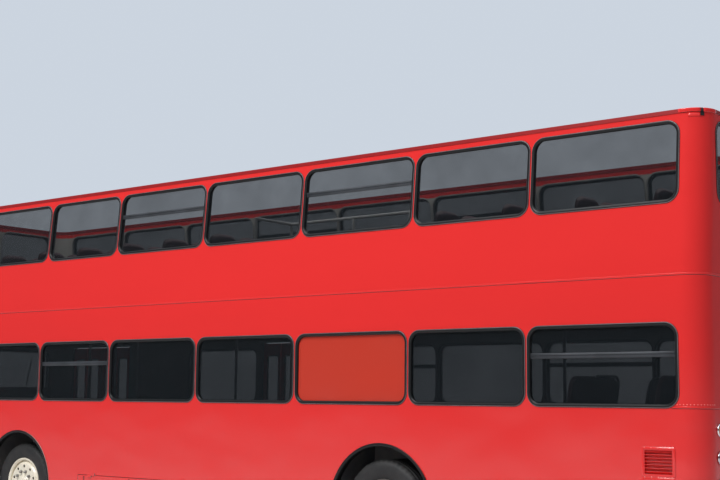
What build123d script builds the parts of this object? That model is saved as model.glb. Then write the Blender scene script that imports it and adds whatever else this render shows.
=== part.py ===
from build123d import *
import math
import os

# An open-top double-deck city bus, left-hand drive, with folding doors on its right side.
# X runs forward, Y to the bus's left and Z up from the road, in millimetres.
# The origin is on the road, under the middle of the overall box.

# Overall length and where the axles stand in it
wheelbase = 5600
rear_overhang = 3300
front_overhang = 2460
bumper_depth = 40
mirror_lead = 140
rear_end_x = -(wheelbase + rear_overhang + front_overhang + mirror_lead) / 2
rear_axle_x = rear_end_x + rear_overhang
front_axle_x = rear_axle_x + wheelbase
body_rear_x = rear_end_x + bumper_depth
body_front_x = front_axle_x + front_overhang - bumper_depth

# Room left between pieces that are fitted together
fit_gap = 0.3

# Body shell: outline, wall and heights
half_width = 1250
wall = 60
rear_corner_r = 200
front_corner_r = 260
skirt_z = 340
wall_top_z = 3906
upper_floor_z = 2520
upper_floor_thick = 60
seam_z = upper_floor_z + 17
rail_height = 35
lean_start_z = 2200
lean_mid_z = 2380
lean_full_z = 2740
lean_angle = 5
front_lean_share = 0.5
rear_split_x = body_rear_x + rear_corner_r
front_split_x = body_front_x - front_corner_r

# Decks
floor_z = 640
floor_thick = 40
platform_z = 940
platform_front_x = rear_axle_x - 1250

# Side windows: the strip of wall between two openings and the rounding of their corners
pillar = 36
window_r = 110
lower_sill_z = 1482
lower_head_z = 2158
upper_sill_z = upper_floor_z + 641
upper_head_z = wall_top_z - 60
glass_depth = 18
glass_thick = 6

# Bay widths from the rear corner to the front one, as shares of the glazed length
first_bay_x = body_rear_x + 207
glazed_length = front_split_x - 18 - first_bay_x
bay_shares = [1440, 1295, 1425, 1425, 1425, 1275, 1285, 1225]
bays = [share * glazed_length / sum(bay_shares) for share in bay_shares]
bay_x = [first_bay_x + sum(bays[:i]) for i in range(len(bays))]
upper_front_bay_cut = 75
blank_bay = 2

# Doors on the right side
door_width = 1250
mid_door_x = bay_x[4] + (bays[4] - door_width) / 2
front_door_x = front_axle_x + 840
door_head_z = 2230
door_sill_z = 375
door_lip = 30
door_lip_thick = 12
door_gap = 3
leaf_thick = 28
leaf_gap = 5
leaf_street_y = -half_width + door_lip_thick + leaf_gap
leaf_mid_y = leaf_street_y + leaf_thick / 2
leaf_jamb_in = leaf_gap + leaf_thick / 2
leaf_meet = 3
leaf_arm = (door_width / 2 - leaf_meet - leaf_thick / 2 - leaf_jamb_in) / 2
leaf_fold_out = 8
leaf_fold_gap = 12
leaf_low_z = door_sill_z + 8
leaf_high_z = door_head_z - 8
step_depth_y = 310

# Hinges on the outside of lids and door panels: barrel, its axis off the face, and the strap
hinge_r = 5
hinge_out = 6
hinge_strap = 24
hinge_long = 60

# Wheels and axles
tyre_r = 480
tyre_width = 276
rim_r = 298
wheel_plane_y = half_width - 215
rear_wheel_y = half_width - 175
twin_spacing = 320
kingpin_y = wheel_plane_y - 105
arch_r = 600
arch_z = 490
housing_inner_y = kingpin_y - 375
housing_half = 625
housing_top_z = 1130
housing_wall = 25

# Chassis
rail_y = 430
rail_width = 70
rail_low_z = 470
rail_high_z = floor_z - floor_thick


# A length beyond every piece, for cuts
far = 2 * half_width


def lean(z):
    """How far the sides lean in at height z: none, then an arc, then a straight slope."""
    angle = math.radians(lean_angle)
    radius = (lean_full_z - lean_start_z) / math.sin(angle)
    if z <= lean_start_z:
        return 0
    if z <= lean_full_z:
        return radius - math.sqrt(radius**2 - (z - lean_start_z) ** 2)
    return radius * (1 - math.cos(angle)) + (z - lean_full_z) * math.tan(angle)


def outline(z, inset):
    """The body's rounded plan outline at height z, moved in by inset, as a sketch on that plane."""
    low_x = body_rear_x + inset
    high_x = body_front_x - lean(z) * front_lean_share - inset
    side_y = half_width - lean(z) - inset
    with BuildSketch(Plane.XY.offset(z)) as section:
        with Locations(((low_x + high_x) / 2, 0)):
            Rectangle(high_x - low_x, 2 * side_y)
        corners = section.vertices().sort_by(Axis.X)
        fillet(corners[:2], rear_corner_r - inset)
        fillet(section.vertices().sort_by(Axis.X)[-2:], front_corner_r - inset)
    return section.sketch


def hull(inset, low_z, high_z):
    """The solid inside the body's outline between two heights, moved in by inset."""
    bends = [z for z in (lean_start_z, lean_mid_z, seam_z, lean_full_z) if low_z < z < high_z]
    with BuildPart() as solid:
        loft([outline(z, inset) for z in [low_z, *bends, high_z]], ruled=True)
    return solid.part


def side_blocks(windows, low_z, high_z, grow, low_y, high_y):
    """Blocks with the outline of side windows, grown by grow, between two widths.

    windows lists the rear edge and the width of each bay."""
    with BuildPart() as blocks:
        with BuildSketch(Plane.XZ.offset(-low_y)):
            for edge_x, width in windows:
                with Locations((edge_x + width / 2, (low_z + high_z) / 2)):
                    RectangleRounded(width - pillar + 2 * grow, high_z - low_z + 2 * grow, window_r + grow)
        extrude(amount=low_y - high_y)
    return blocks.part


def end_blocks(windows, grow, low_x, high_x):
    """Blocks with the outline of windows in the front or rear, between two lengths.

    windows lists the middle, the width, the sill and the head of each."""
    with BuildPart() as blocks:
        with BuildSketch(Plane.YZ.offset(low_x)):
            for middle_y, width, low_z, high_z in windows:
                corner_r = min(window_r, (high_z - low_z) / 5)
                with Locations((middle_y, (low_z + high_z) / 2)):
                    RectangleRounded(width + 2 * grow, high_z - low_z + 2 * grow, corner_r + grow)
        extrude(amount=high_x - low_x)
    return blocks.part


def block(low, high):
    """A plain block between two corners."""
    size = [b - a for a, b in zip(low, high)]
    return Solid.make_box(*size, Plane(origin=low))


def rod(start, end, radius):
    """A round bar between two points."""
    way = Vector(*end) - Vector(*start)
    return Solid.make_cylinder(radius, way.length, Plane(origin=start, z_dir=way))


def both_sides(low, high):
    """The same block on the left and, mirrored, on the right."""
    return [
        block(low, high),
        block((low[0], -high[1], low[2]), (high[0], -low[1], high[2])),
    ]


def faceted(rings, sides, place):
    """A solid of flat facets through regular polygons.

    rings lists how far along the axis each polygon stands and how far its flats lie from it;
    place is the plane whose normal is the axis."""
    turns = [2 * math.pi * i / sides for i in range(sides)]
    corners = []
    for along, flat_r in rings:
        corner_r = flat_r / math.cos(math.pi / sides)
        ring = [(corner_r * math.cos(turn), corner_r * math.sin(turn), along) for turn in turns]
        corners.append([place.from_local_coords(corner) for corner in ring])
    faces = [Face(Wire.make_polygon(corners[0])), Face(Wire.make_polygon(corners[-1]))]
    for low, high in zip(corners, corners[1:]):
        for i in range(sides):
            j = (i + 1) % sides
            faces.append(Face(Wire.make_polygon([low[i], low[j], high[j], high[i]])))
    return Solid(Shell(faces))


def wall_ring(low_x, high_x, skin, corner_low_z, corner_high_z):
    """A band of the body's outer outline: skin thick, 0.3 mm off the wall, between two lengths."""
    with BuildPart() as band:
        add(hull(-skin, corner_low_z, corner_high_z))
        add(hull(-fit_gap, corner_low_z, corner_high_z), mode=Mode.SUBTRACT)
        add(block((low_x, -far, 0), (high_x, far, 2 * far)), mode=Mode.INTERSECT)
    return band.part


def lid_hinge(origin, along, out, up):
    """One barrel of a hinge with its strap: from origin along the axis, strap on the face, up or down."""
    low = Vector(*origin)
    way = Vector(*along)
    off = Vector(*out)
    barrel = rod(low, low + way * hinge_long, hinge_r)
    corner_a = low + off * (hinge_r - 1)
    corner_b = low + way * hinge_long - off * hinge_out + Vector(0, 0, up * hinge_strap)
    a = (corner_a.X, corner_a.Y, corner_a.Z)
    b = (corner_b.X, corner_b.Y, corner_b.Z)
    low_corner = [min(p, q) for p, q in zip(a, b)]
    high_corner = [max(p, q) for p, q in zip(a, b)]
    return [barrel, block(low_corner, high_corner)]


def write(piece, name):
    """Labels a finished part and writes its file."""
    piece.label = name
    export_step(piece, f"parts/{name}.step")
    print(name, round(piece.volume / 1e6, 1), len(piece.solids()), flush=True)


os.makedirs("parts", exist_ok=True)

# Window tables
lower_left_windows = list(zip(bay_x, bays))
lower_right_windows = [(bay_x[i], bays[i]) for i in (0, 1, 2, 3, 5)]
upper_windows = list(zip(bay_x, bays[:-1] + [bays[-1] - upper_front_bay_cut]))
screen_half = half_width - 270
mullion = 50
screen_width = screen_half - mullion / 2
# middle, width, sill, head
front_screen_head_z = 2170
screen_y = (screen_half + mullion / 2) / 2
front_low_windows = [(side * screen_y, screen_width, 1060, front_screen_head_z) for side in (1, -1)]
display_window = (0, 2 * half_width - 1000, front_screen_head_z + 65, upper_floor_z - upper_floor_thick - 25)
front_high_y = (half_width - 354) / 2
front_high_windows = [(side * front_high_y, 840, upper_floor_z + 440, upper_head_z) for side in (1, -1)]
rear_low_windows = [(0, 2 * half_width - 900, lower_sill_z, lower_head_z)]
rear_high_y = (half_width - 306) / 2
rear_high_windows = [(side * rear_high_y, 890, upper_sill_z, upper_head_z) for side in (1, -1)]



def window_blocks(grow, names):
    """The named groups of window blocks, grown by grow, right through the walls they sit in."""
    inner = half_width / 2
    blocks = []
    if "left" in names:
        blocks.append(side_blocks(lower_left_windows, lower_sill_z, lower_head_z, grow, inner, far))
        blocks.append(side_blocks(upper_windows, upper_sill_z, upper_head_z, grow, inner, far))
    if "right" in names:
        blocks.append(side_blocks(lower_right_windows, lower_sill_z, lower_head_z, grow, -far, -inner))
        blocks.append(side_blocks(upper_windows, upper_sill_z, upper_head_z, grow, -far, -inner))
    if "ends" in names:
        fronts = [display_window] + front_low_windows + front_high_windows
        rears = rear_low_windows + rear_high_windows
        blocks.append(end_blocks(fronts, grow, front_split_x, body_front_x + far))
        blocks.append(end_blocks(rears, grow, body_rear_x - far, rear_split_x))
    return blocks


window_cuts = window_blocks(0, ("left", "right", "ends"))

# Engine lid opening in the rear wall, skirt flap and air louvres in the left wall
lid_half = half_width - 450
lid_low_z = 440
lid_high_z = 1330
lid_gap = 6
lid_thick = 30
flap_rear_x = rear_axle_x + 2480
flap_front_x = rear_axle_x + 4440
flap_top_z = 630
flap_thick = 20
louvre_rear_x = rear_axle_x - 2985
louvre_front_x = rear_axle_x - 2718
louvre_height = 213
louvre_low_z = (932, 690)

# Hulls that the walls, floors and panes are cut from
outer_low = hull(0, skirt_z, seam_z)
inner_low = hull(wall, skirt_z, seam_z)
outer_high = hull(0, seam_z, wall_top_z)
inner_high = hull(wall, seam_z, wall_top_z)
space_low = hull(wall + fit_gap, skirt_z, seam_z)

# The shell of the body, one tube for each deck, with its openings cut
with BuildPart() as lower_shell:
    add(outer_low)
    add(inner_low, mode=Mode.SUBTRACT)
    add(window_cuts, mode=Mode.SUBTRACT)
    for axle_x in (front_axle_x, rear_axle_x):
        add(rod((axle_x, -far, arch_z), (axle_x, far, arch_z), arch_r), mode=Mode.SUBTRACT)
        add(block((axle_x - arch_r, -far, 0), (axle_x + arch_r, far, arch_z)), mode=Mode.SUBTRACT)
    for door_x in (mid_door_x, front_door_x):
        for side_in, low_y in ((0, -half_width + door_lip_thick), (door_lip, -half_width - 10)):
            low = (door_x + side_in, low_y, skirt_z - 10)
            high = (door_x + door_width - side_in, -half_width / 2, door_head_z)
            add(block(low, high), mode=Mode.SUBTRACT)
    lid_cut_half = lid_half + lid_gap
    low = (body_rear_x - 10, -lid_cut_half, lid_low_z - lid_gap)
    high = (rear_split_x, lid_cut_half, lid_high_z + lid_gap)
    add(block(low, high), mode=Mode.SUBTRACT)
    low = (flap_rear_x - lid_gap, half_width / 2, skirt_z - 10)
    high = (flap_front_x + lid_gap, far, flap_top_z + lid_gap)
    add(block(low, high), mode=Mode.SUBTRACT)
    for low_z in louvre_low_z:
        low = (louvre_rear_x, -far, low_z)
        high = (louvre_front_x, far, low_z + louvre_height)
        add(block(low, high), mode=Mode.SUBTRACT)
with BuildPart() as upper_shell:
    add(outer_high)
    add(inner_high, mode=Mode.SUBTRACT)
    add(window_cuts, mode=Mode.SUBTRACT)

# name, shell, rear x, front x, right y, left y
panels = [
    ("left_side_lower", lower_shell, rear_split_x, front_split_x, 0, far),
    ("right_side_lower", lower_shell, rear_split_x, front_split_x, -far, 0),
    ("front_end_lower", lower_shell, front_split_x, far * 3, -far, far),
    ("rear_end_lower", lower_shell, -far * 3, rear_split_x, -far, far),
    ("left_side_upper", upper_shell, rear_split_x, front_split_x, 0, far),
    ("right_side_upper", upper_shell, rear_split_x, front_split_x, -far, 0),
    ("front_end_upper", upper_shell, front_split_x, far * 3, -far, far),
    ("rear_end_upper", upper_shell, -far * 3, rear_split_x, -far, far),
]
lid_hinge_x = body_rear_x - hinge_out
lid_hinge_z = lid_high_z + lid_gap / 2
flap_hinge_y = half_width + hinge_out
flap_hinge_z = flap_top_z + lid_gap / 2
hinge_pitch = hinge_long + fit_gap
wall_hinges = {
    "rear_end_lower": [
        lid_hinge((lid_hinge_x, y, lid_hinge_z), (0, 1, 0), (-1, 0, 0), 1)
        for y in (-550, 500)
    ],
    "left_side_lower": [
        lid_hinge((x, flap_hinge_y, flap_hinge_z), (1, 0, 0), (0, 1, 0), 1)
        for x in (flap_rear_x + 200, flap_front_x - 300)
    ],
}
# Raised lip round each wheel arch, on the outside of the side walls
arch_lip = 24
arch_lip_proud = 7
for side, name in ((1, "left_side_lower"), (-1, "right_side_lower")):
    wall_y = side * half_width
    out_y = side * (half_width + arch_lip_proud)
    for axle_x in (front_axle_x, rear_axle_x):
        with BuildPart() as lip:
            with BuildSketch(Plane.XZ.offset(-wall_y)):
                with BuildLine():
                    lip_r = arch_r + arch_lip
                    top = CenterArc((axle_x, arch_z), lip_r, 0, 180)
                    Polyline(top @ 1, (axle_x - lip_r, skirt_z), (axle_x + lip_r, skirt_z), top @ 0)
                make_face()
                with BuildLine(mode=Mode.PRIVATE) as hole:
                    top = CenterArc((axle_x, arch_z), arch_r, 0, 180)
                    Polyline(top @ 1, (axle_x - arch_r, skirt_z - 10), (axle_x + arch_r, skirt_z - 10), top @ 0)
                add(make_face(hole.edges(), mode=Mode.PRIVATE), mode=Mode.SUBTRACT)
            extrude(amount=wall_y - out_y)
        wall_hinges.setdefault(name, []).append(lip.part)
for name, shell, low_x, high_x, low_y, high_y in panels:
    with BuildPart() as panel:
        add(shell.part)
        add(block((low_x, low_y, 0), (high_x, high_y, 2 * wall_top_z)), mode=Mode.INTERSECT)
        for pieces in wall_hinges.get(name, []):
            add(pieces)
    write(panel.part, name)

# Rail along the cut edge all the way round
rail_top_z = wall_top_z + rail_height
rail_outer = hull(-6, wall_top_z, rail_top_z)
rail_inner = hull(wall + 8, wall_top_z, rail_top_z)
with BuildPart() as top_rail:
    add(rail_outer)
    add(rail_inner, mode=Mode.SUBTRACT)
write(top_rail.part, "top_rail")

# Window glass: a thin shell set in from the outside, cut to the openings
glass_outer = [hull(glass_depth, skirt_z, seam_z), hull(glass_depth, seam_z, wall_top_z)]
glass_inner = [
    hull(glass_depth + glass_thick, skirt_z, seam_z),
    hull(glass_depth + glass_thick, seam_z, wall_top_z),
]
blank_x = bay_x[blank_bay]
blank_box = block((blank_x, 0, skirt_z), (blank_x + bays[blank_bay], far, seam_z))
for group, walls in (("side", ("left", "right")), ("end", ("ends",))):
    cuts = window_blocks(-fit_gap, walls)
    panes = []
    for outer, inner in zip(glass_outer, glass_inner):
        with BuildPart() as deck_panes:
            add(outer)
            add(inner, mode=Mode.SUBTRACT)
            add(cuts, mode=Mode.INTERSECT)
            if group == "side" and outer is glass_outer[0]:
                add(blank_box, mode=Mode.SUBTRACT)
        panes.append(deck_panes.part)
    with BuildPart() as glass:
        add(panes)
    write(glass.part, f"{group}_glass")
    if group == "side":
        with BuildPart() as blank_panel:
            add(glass_outer[0])
            add(glass_inner[0], mode=Mode.SUBTRACT)
            add(cuts, mode=Mode.INTERSECT)
            add(blank_box, mode=Mode.INTERSECT)
        write(blank_panel.part, "blank_panel")


def plate(low_x, high_x, low_z, high_z):
    """A level or upright slice of the space inside the walls."""
    with BuildPart() as slice_part:
        add(space_low)
        add(block((low_x, -far, low_z), (high_x, far, high_z)), mode=Mode.INTERSECT)
    return slice_part.part


# Lower floor with its rear platform, wheel housings and step wells
floor_low_z = floor_z - floor_thick
main_plate = plate(platform_front_x, far * 3, floor_low_z, floor_z)
rear_plate = plate(-far * 3, platform_front_x, platform_z - floor_thick, platform_z)
riser_plate = plate(platform_front_x - floor_thick, platform_front_x, floor_low_z, platform_z)
inside_y = half_width - wall - fit_gap
well_y = -inside_y + step_depth_y
with BuildPart() as lower_floor:
    add(main_plate)
    for axle_x in (front_axle_x, rear_axle_x):
        low = (axle_x - housing_half, housing_inner_y, 0)
        add(both_sides(low, (axle_x + housing_half, far, floor_z + 10)), mode=Mode.SUBTRACT)
    for door_x in (mid_door_x, front_door_x):
        low = (door_x - housing_wall, -far, 0)
        high = (door_x + door_width + housing_wall, well_y + housing_wall, 2 * floor_z)
        add(block(low, high), mode=Mode.SUBTRACT)
write(lower_floor.part, "lower_floor")
with BuildPart() as rear_platform:
    add([rear_plate, riser_plate])
write(rear_platform.part, "rear_platform")

# Wheel housings: boxes over the wheels, open below and to the arch in the wall
with BuildPart() as wheel_housings:
    for axle_x in (front_axle_x, rear_axle_x):
        low = (axle_x - housing_half, housing_inner_y, floor_low_z)
        high = (axle_x + housing_half, inside_y, housing_top_z)
        add(both_sides(low, high))
    for axle_x in (front_axle_x, rear_axle_x):
        low = (axle_x - housing_half + housing_wall, housing_inner_y + housing_wall, 0)
        high = (axle_x + housing_half - housing_wall, far, housing_top_z - housing_wall)
        add(both_sides(low, high), mode=Mode.SUBTRACT)
write(wheel_housings.part, "wheel_housings")

# Step wells behind the doors, with the threshold that runs out through the doorway
with BuildPart() as step_wells:
    for door_x in (mid_door_x, front_door_x):
        end_x = door_x + door_width
        low = (door_x - housing_wall, -inside_y, skirt_z + 5)
        high = (end_x + housing_wall, well_y + housing_wall, floor_z)
        add(block(low, high))
        lip_y = -half_width + door_lip_thick + fit_gap
        low = (door_x + door_lip + 1, -half_width + 5, skirt_z + 5)
        add(block(low, (end_x - door_lip - 1, lip_y, door_sill_z)))
        low = (door_x + fit_gap, lip_y, skirt_z + 5)
        add(block(low, (end_x - fit_gap, -inside_y, door_sill_z)))
        low = (door_x, -inside_y, door_sill_z)
        high = (end_x, well_y, 2 * floor_z)
        add(block(low, high), mode=Mode.SUBTRACT)
write(step_wells.part, "step_wells")

# Stairs on the left, rising to the rear
stair_foot_x = rear_axle_x + 1950
stair_count = 8
stair_rise = (upper_floor_z - floor_z) / stair_count
stair_going = 230
stair_head_x = stair_foot_x - stair_count * stair_going
stair_low_y = inside_y - 629.7
stair_high_y = inside_y - 25
tread_thick = 30
stringer = 25
well_front_x = stair_foot_x - 150

# Upper floor in three boards: behind, beside and ahead of the stairwell
upper_low_z = upper_floor_z - upper_floor_thick
well_side_y = stair_low_y - 10
rear_board = plate(-far * 3, stair_head_x - fit_gap, upper_low_z, upper_floor_z)
side_board = plate(stair_head_x, well_front_x - fit_gap, upper_low_z, upper_floor_z)
front_board = plate(well_front_x, far * 3, upper_low_z, upper_floor_z)
with BuildPart() as upper_floor:
    add([rear_board, side_board, front_board])
    low = (stair_head_x - fit_gap, well_side_y, 0)
    add(block(low, (well_front_x, far, 2 * far)), mode=Mode.SUBTRACT)
write(upper_floor.part, "upper_floor")

with BuildPart() as stairs:
    for i in range(stair_count - 1):
        front_x = stair_foot_x - i * stair_going
        top = floor_z + (i + 1) * stair_rise
        low = (front_x - stair_going - 25, stair_low_y, top - tread_thick)
        add(block(low, (front_x, stair_high_y, top)))
    for low_y in (stair_low_y, stair_high_y - stringer):
        with BuildSketch(Plane.XZ.offset(-low_y)):
            with BuildLine():
                Polyline(
                    (stair_foot_x + 60, floor_z),
                    (stair_foot_x + 60, floor_z + 120),
                    (stair_head_x, upper_floor_z - 60),
                    (stair_head_x, upper_floor_z - 320),
                    (stair_foot_x - 230, floor_z),
                    close=True,
                )
            make_face()
        extrude(amount=-stringer)
write(stairs.part, "stairs")

# Chassis frame: two long rails and the members across
frame_rear_x = body_rear_x + wall + 60
frame_front_x = body_front_x - wall - 200
cross_x = [frame_rear_x + 100, front_axle_x + 1150, frame_front_x - 100]
cross_x += [rear_axle_x + share * wheelbase for share in (-0.17, 0.17, 0.4375, 0.705)]
jack_pad_r = 60
with BuildPart() as chassis_frame:
    low = (frame_rear_x, rail_y - rail_width / 2, rail_low_z)
    high = (frame_front_x, rail_y + rail_width / 2, rail_high_z)
    add(both_sides(low, high))
    for x in cross_x:
        add(block((x - 40, -rail_y, rail_low_z + 20), (x + 40, rail_y, rail_high_z - 20)))
    low = (rear_axle_x - 200, -rail_y - rail_width, 0)
    high = (rear_axle_x + 200, rail_y + rail_width, 555)
    add(block(low, high), mode=Mode.SUBTRACT)
    for side in (1, -1):
        for x in (front_axle_x - 850, rear_axle_x + 850):
            add(rod((x, side * rail_y, rail_low_z - 25), (x, side * rail_y, rail_low_z + 20), jack_pad_r))
write(chassis_frame.part, "chassis_frame")

# Front axle beam, dropped between its ends, with spring seats under the rails
pin_r = 20
eye_r = 50
eye_half = 40
with BuildPart() as front_axle:
    x = front_axle_x
    drop_low = 320
    drop_high = 400
    drop_y = kingpin_y - 230
    add(block((x - 45, -drop_y - 60, drop_low), (x + 45, drop_y + 60, drop_high)))
    add(both_sides((x - 45, drop_y, drop_low), (x + 45, drop_y + 80, tyre_r + eye_half)))
    low = (x - 35, drop_y + 40, tyre_r - eye_half)
    add(both_sides(low, (x + 35, kingpin_y, tyre_r + eye_half)))
    for side in (1, -1):
        pin_y = side * kingpin_y
        add(rod((x, pin_y, tyre_r - eye_half), (x, pin_y, tyre_r + eye_half), eye_r))
        add(rod((x, side * rail_y, drop_high), (x, side * rail_y, rail_low_z), 90))
    for side in (1, -1):
        pin_y = side * kingpin_y
        hole = rod((x, pin_y, 0), (x, pin_y, 2 * tyre_r), pin_r + 0.05)
        add(hole, mode=Mode.SUBTRACT)
write(front_axle.part, "front_axle")

# Steering knuckles: a fork round the beam's eye, its kingpin and the wheel spindle
spindle_r = 30
spindle_end_y = wheel_plane_y + 65
for side, name in ((1, "knuckle_left"), (-1, "knuckle_right")):
    pin_y = side * kingpin_y
    with BuildPart() as knuckle:
        for low_z in (tyre_r - eye_half - 40, tyre_r + eye_half + 5):
            add(rod((x, pin_y, low_z), (x, pin_y, low_z + 35), eye_r))
            arm = block((x - 40, kingpin_y, low_z), (x + 40, kingpin_y + 80, low_z + 35))
            add(arm if side > 0 else arm.mirror(Plane.XZ))
        add(rod((x, pin_y, tyre_r - eye_half - 40), (x, pin_y, tyre_r + eye_half + 40), pin_r))
        low = (x - 40, kingpin_y + eye_r + 5, tyre_r - eye_half - 40)
        web = block(low, (x + 40, kingpin_y + 80, tyre_r + eye_half + 40))
        add(web if side > 0 else web.mirror(Plane.XZ))
        add(rod((x, side * (kingpin_y + 80), tyre_r), (x, side * spindle_end_y, tyre_r), spindle_r))
    write(knuckle.part, name)

# Rear axle: tube, final drive, trailing arms with air springs, and the hub spindles
axle_tube_r = 60
rear_spindle_r = 45
rear_hub_in_y = rear_wheel_y - twin_spacing - 140
with BuildPart() as rear_axle:
    x = rear_axle_x
    add(rod((x, -rear_hub_in_y + 60, tyre_r), (x, rear_hub_in_y - 60, tyre_r), axle_tube_r))
    add(rod((x, -rear_wheel_y + 40, tyre_r), (x, rear_wheel_y - 40, tyre_r), rear_spindle_r))
    add(rod((x, -150, tyre_r), (x, 150, tyre_r), 112))
    for side in (1, -1):
        y = side * rail_y
        add(block((x - 380, y - 35, 375), (x + 380, y + 35, 430)))
        for spring_x in (x - 300, x + 300):
            add(rod((spring_x, y, 430), (spring_x, y, rail_low_z), 85))
write(rear_axle.part, "rear_axle")

# Wheels: tyres and pressed-steel rims turned from straight-sided sections
bead_y = 105
flange_y = 117
barrel_r = 280
tyre_sides = 30
tyre_flat_r = tyre_r * math.cos(math.pi / tyre_sides)
tyre_wall = 20


def tyre_solid(axle_x, y):
    """One tyre as flat facets round a wheel's axis, its middle at width y."""
    half = tyre_width / 2
    seat_r = barrel_r + fit_gap
    place = Plane(origin=(axle_x, y, tyre_r), z_dir=(0, 1, 0))
    outer = [(bead_y - fit_gap, rim_r + 2), (half, rim_r + 82), (half - 10, tyre_r - 34), (half - 38, tyre_flat_r)]
    hollow = [(bead_y - 35, seat_r), (half - tyre_wall, rim_r + 82), (half - 50, tyre_flat_r - tyre_wall - 4)]
    mirrored_outer = [(-a, r) for a, r in outer] + outer[::-1]
    mirrored_hollow = [(-a, r) for a, r in hollow] + hollow[::-1]
    with BuildPart() as tyre:
        add(faceted(mirrored_outer, tyre_sides, place))
        add(faceted(mirrored_hollow, tyre_sides, place), mode=Mode.SUBTRACT)
        add(faceted([(-half, seat_r), (half, seat_r)], tyre_sides, place), mode=Mode.SUBTRACT)
    return tyre.part


front_rim_section = [
    (wheel_plane_y + a, r)
    for a, r in (
        (70, 0),
        (70, spindle_r + 0.05),
        (-19, spindle_r + 0.05),
        (-19, 75),
        (100, 75),
        (100, 220),
        (54, barrel_r - 10),
        (-bead_y, barrel_r - 10),
        (-flange_y, barrel_r + 5),
        (-flange_y, rim_r),
        (-bead_y, rim_r),
        (-bead_y, barrel_r),
        (bead_y, barrel_r),
        (bead_y, rim_r),
        (flange_y, rim_r),
        (flange_y, barrel_r + 5),
        (bead_y, barrel_r - 10),
        (70, barrel_r - 10),
        (108, 236),
        (112, 224),
        (112, 95),
        (125, 85),
        (125, 0),
    )
]
rear_inner_y = rear_wheel_y - twin_spacing
joint_y = (rear_wheel_y + rear_inner_y) / 2
rear_rim_section = [
    (rear_wheel_y - 35, 0),
    (rear_wheel_y - 35, rear_spindle_r + 0.05),
    (rear_hub_in_y, rear_spindle_r + 0.05),
    (rear_hub_in_y, 110),
    (joint_y - 25, 110),
    (joint_y - 25, 170),
    (rear_inner_y + 88, barrel_r - 10),
    (rear_inner_y - bead_y, barrel_r - 10),
    (rear_inner_y - flange_y, barrel_r + 5),
    (rear_inner_y - flange_y, rim_r),
    (rear_inner_y - bead_y, rim_r),
    (rear_inner_y - bead_y, barrel_r),
    (rear_inner_y + bead_y, barrel_r),
    (rear_inner_y + bead_y, rim_r),
    (rear_inner_y + flange_y, rim_r),
    (rear_inner_y + flange_y, barrel_r + 5),
    (rear_inner_y + bead_y, barrel_r - 10),
    (joint_y - 9, 170),
    (joint_y + 9, 170),
    (rear_wheel_y - bead_y, barrel_r - 10),
    (rear_wheel_y - flange_y, barrel_r + 5),
    (rear_wheel_y - flange_y, rim_r),
    (rear_wheel_y - bead_y, rim_r),
    (rear_wheel_y - bead_y, barrel_r),
    (rear_wheel_y + bead_y, barrel_r),
    (rear_wheel_y + bead_y, rim_r),
    (rear_wheel_y + flange_y, rim_r),
    (rear_wheel_y + flange_y, barrel_r + 5),
    (rear_wheel_y + bead_y, barrel_r - 10),
    (rear_wheel_y - 85, barrel_r - 10),
    (joint_y + 25, 170),
    (joint_y + 25, 120),
    (rear_wheel_y - 15, 110),
    (rear_wheel_y + 10, 90),
    (rear_wheel_y + 10, 0),
]
hand_holes = 10
hand_hole_circle = 198
hand_hole_r = 19
wheel_places = (("front", front_axle_x), ("rear", rear_axle_x))
for end, axle_x in wheel_places:
    wheel_axis = Axis((axle_x, 0, tyre_r), (0, 1, 0))
    tyre_planes = [wheel_plane_y] if end == "front" else [rear_wheel_y, rear_inner_y]
    rim_section = front_rim_section if end == "front" else rear_rim_section
    for side, side_name in ((1, "left"), (-1, "right")):
        with BuildPart() as tyre:
            add([tyre_solid(axle_x, side * y) for y in tyre_planes])
        write(tyre.part, f"tyre_{end}_{side_name}")
        with BuildPart() as rim:
            with BuildSketch(Plane.XY.offset(tyre_r)):
                with BuildLine():
                    Polyline([(axle_x + r, side * py) for py, r in rim_section], close=True)
                make_face()
            revolve(axis=wheel_axis)
            if end == "front":
                for i in range(hand_holes):
                    angle = 2 * math.pi * (i + 0.5) / hand_holes
                    hole_x = axle_x + hand_hole_circle * math.cos(angle)
                    hole_z = tyre_r + hand_hole_circle * math.sin(angle)
                    start = (hole_x, side * (wheel_plane_y + 20), hole_z)
                    add(rod(start, (hole_x, side * (wheel_plane_y + 160), hole_z), hand_hole_r), mode=Mode.SUBTRACT)
        write(rim.part, f"rim_{end}_{side_name}")

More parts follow.
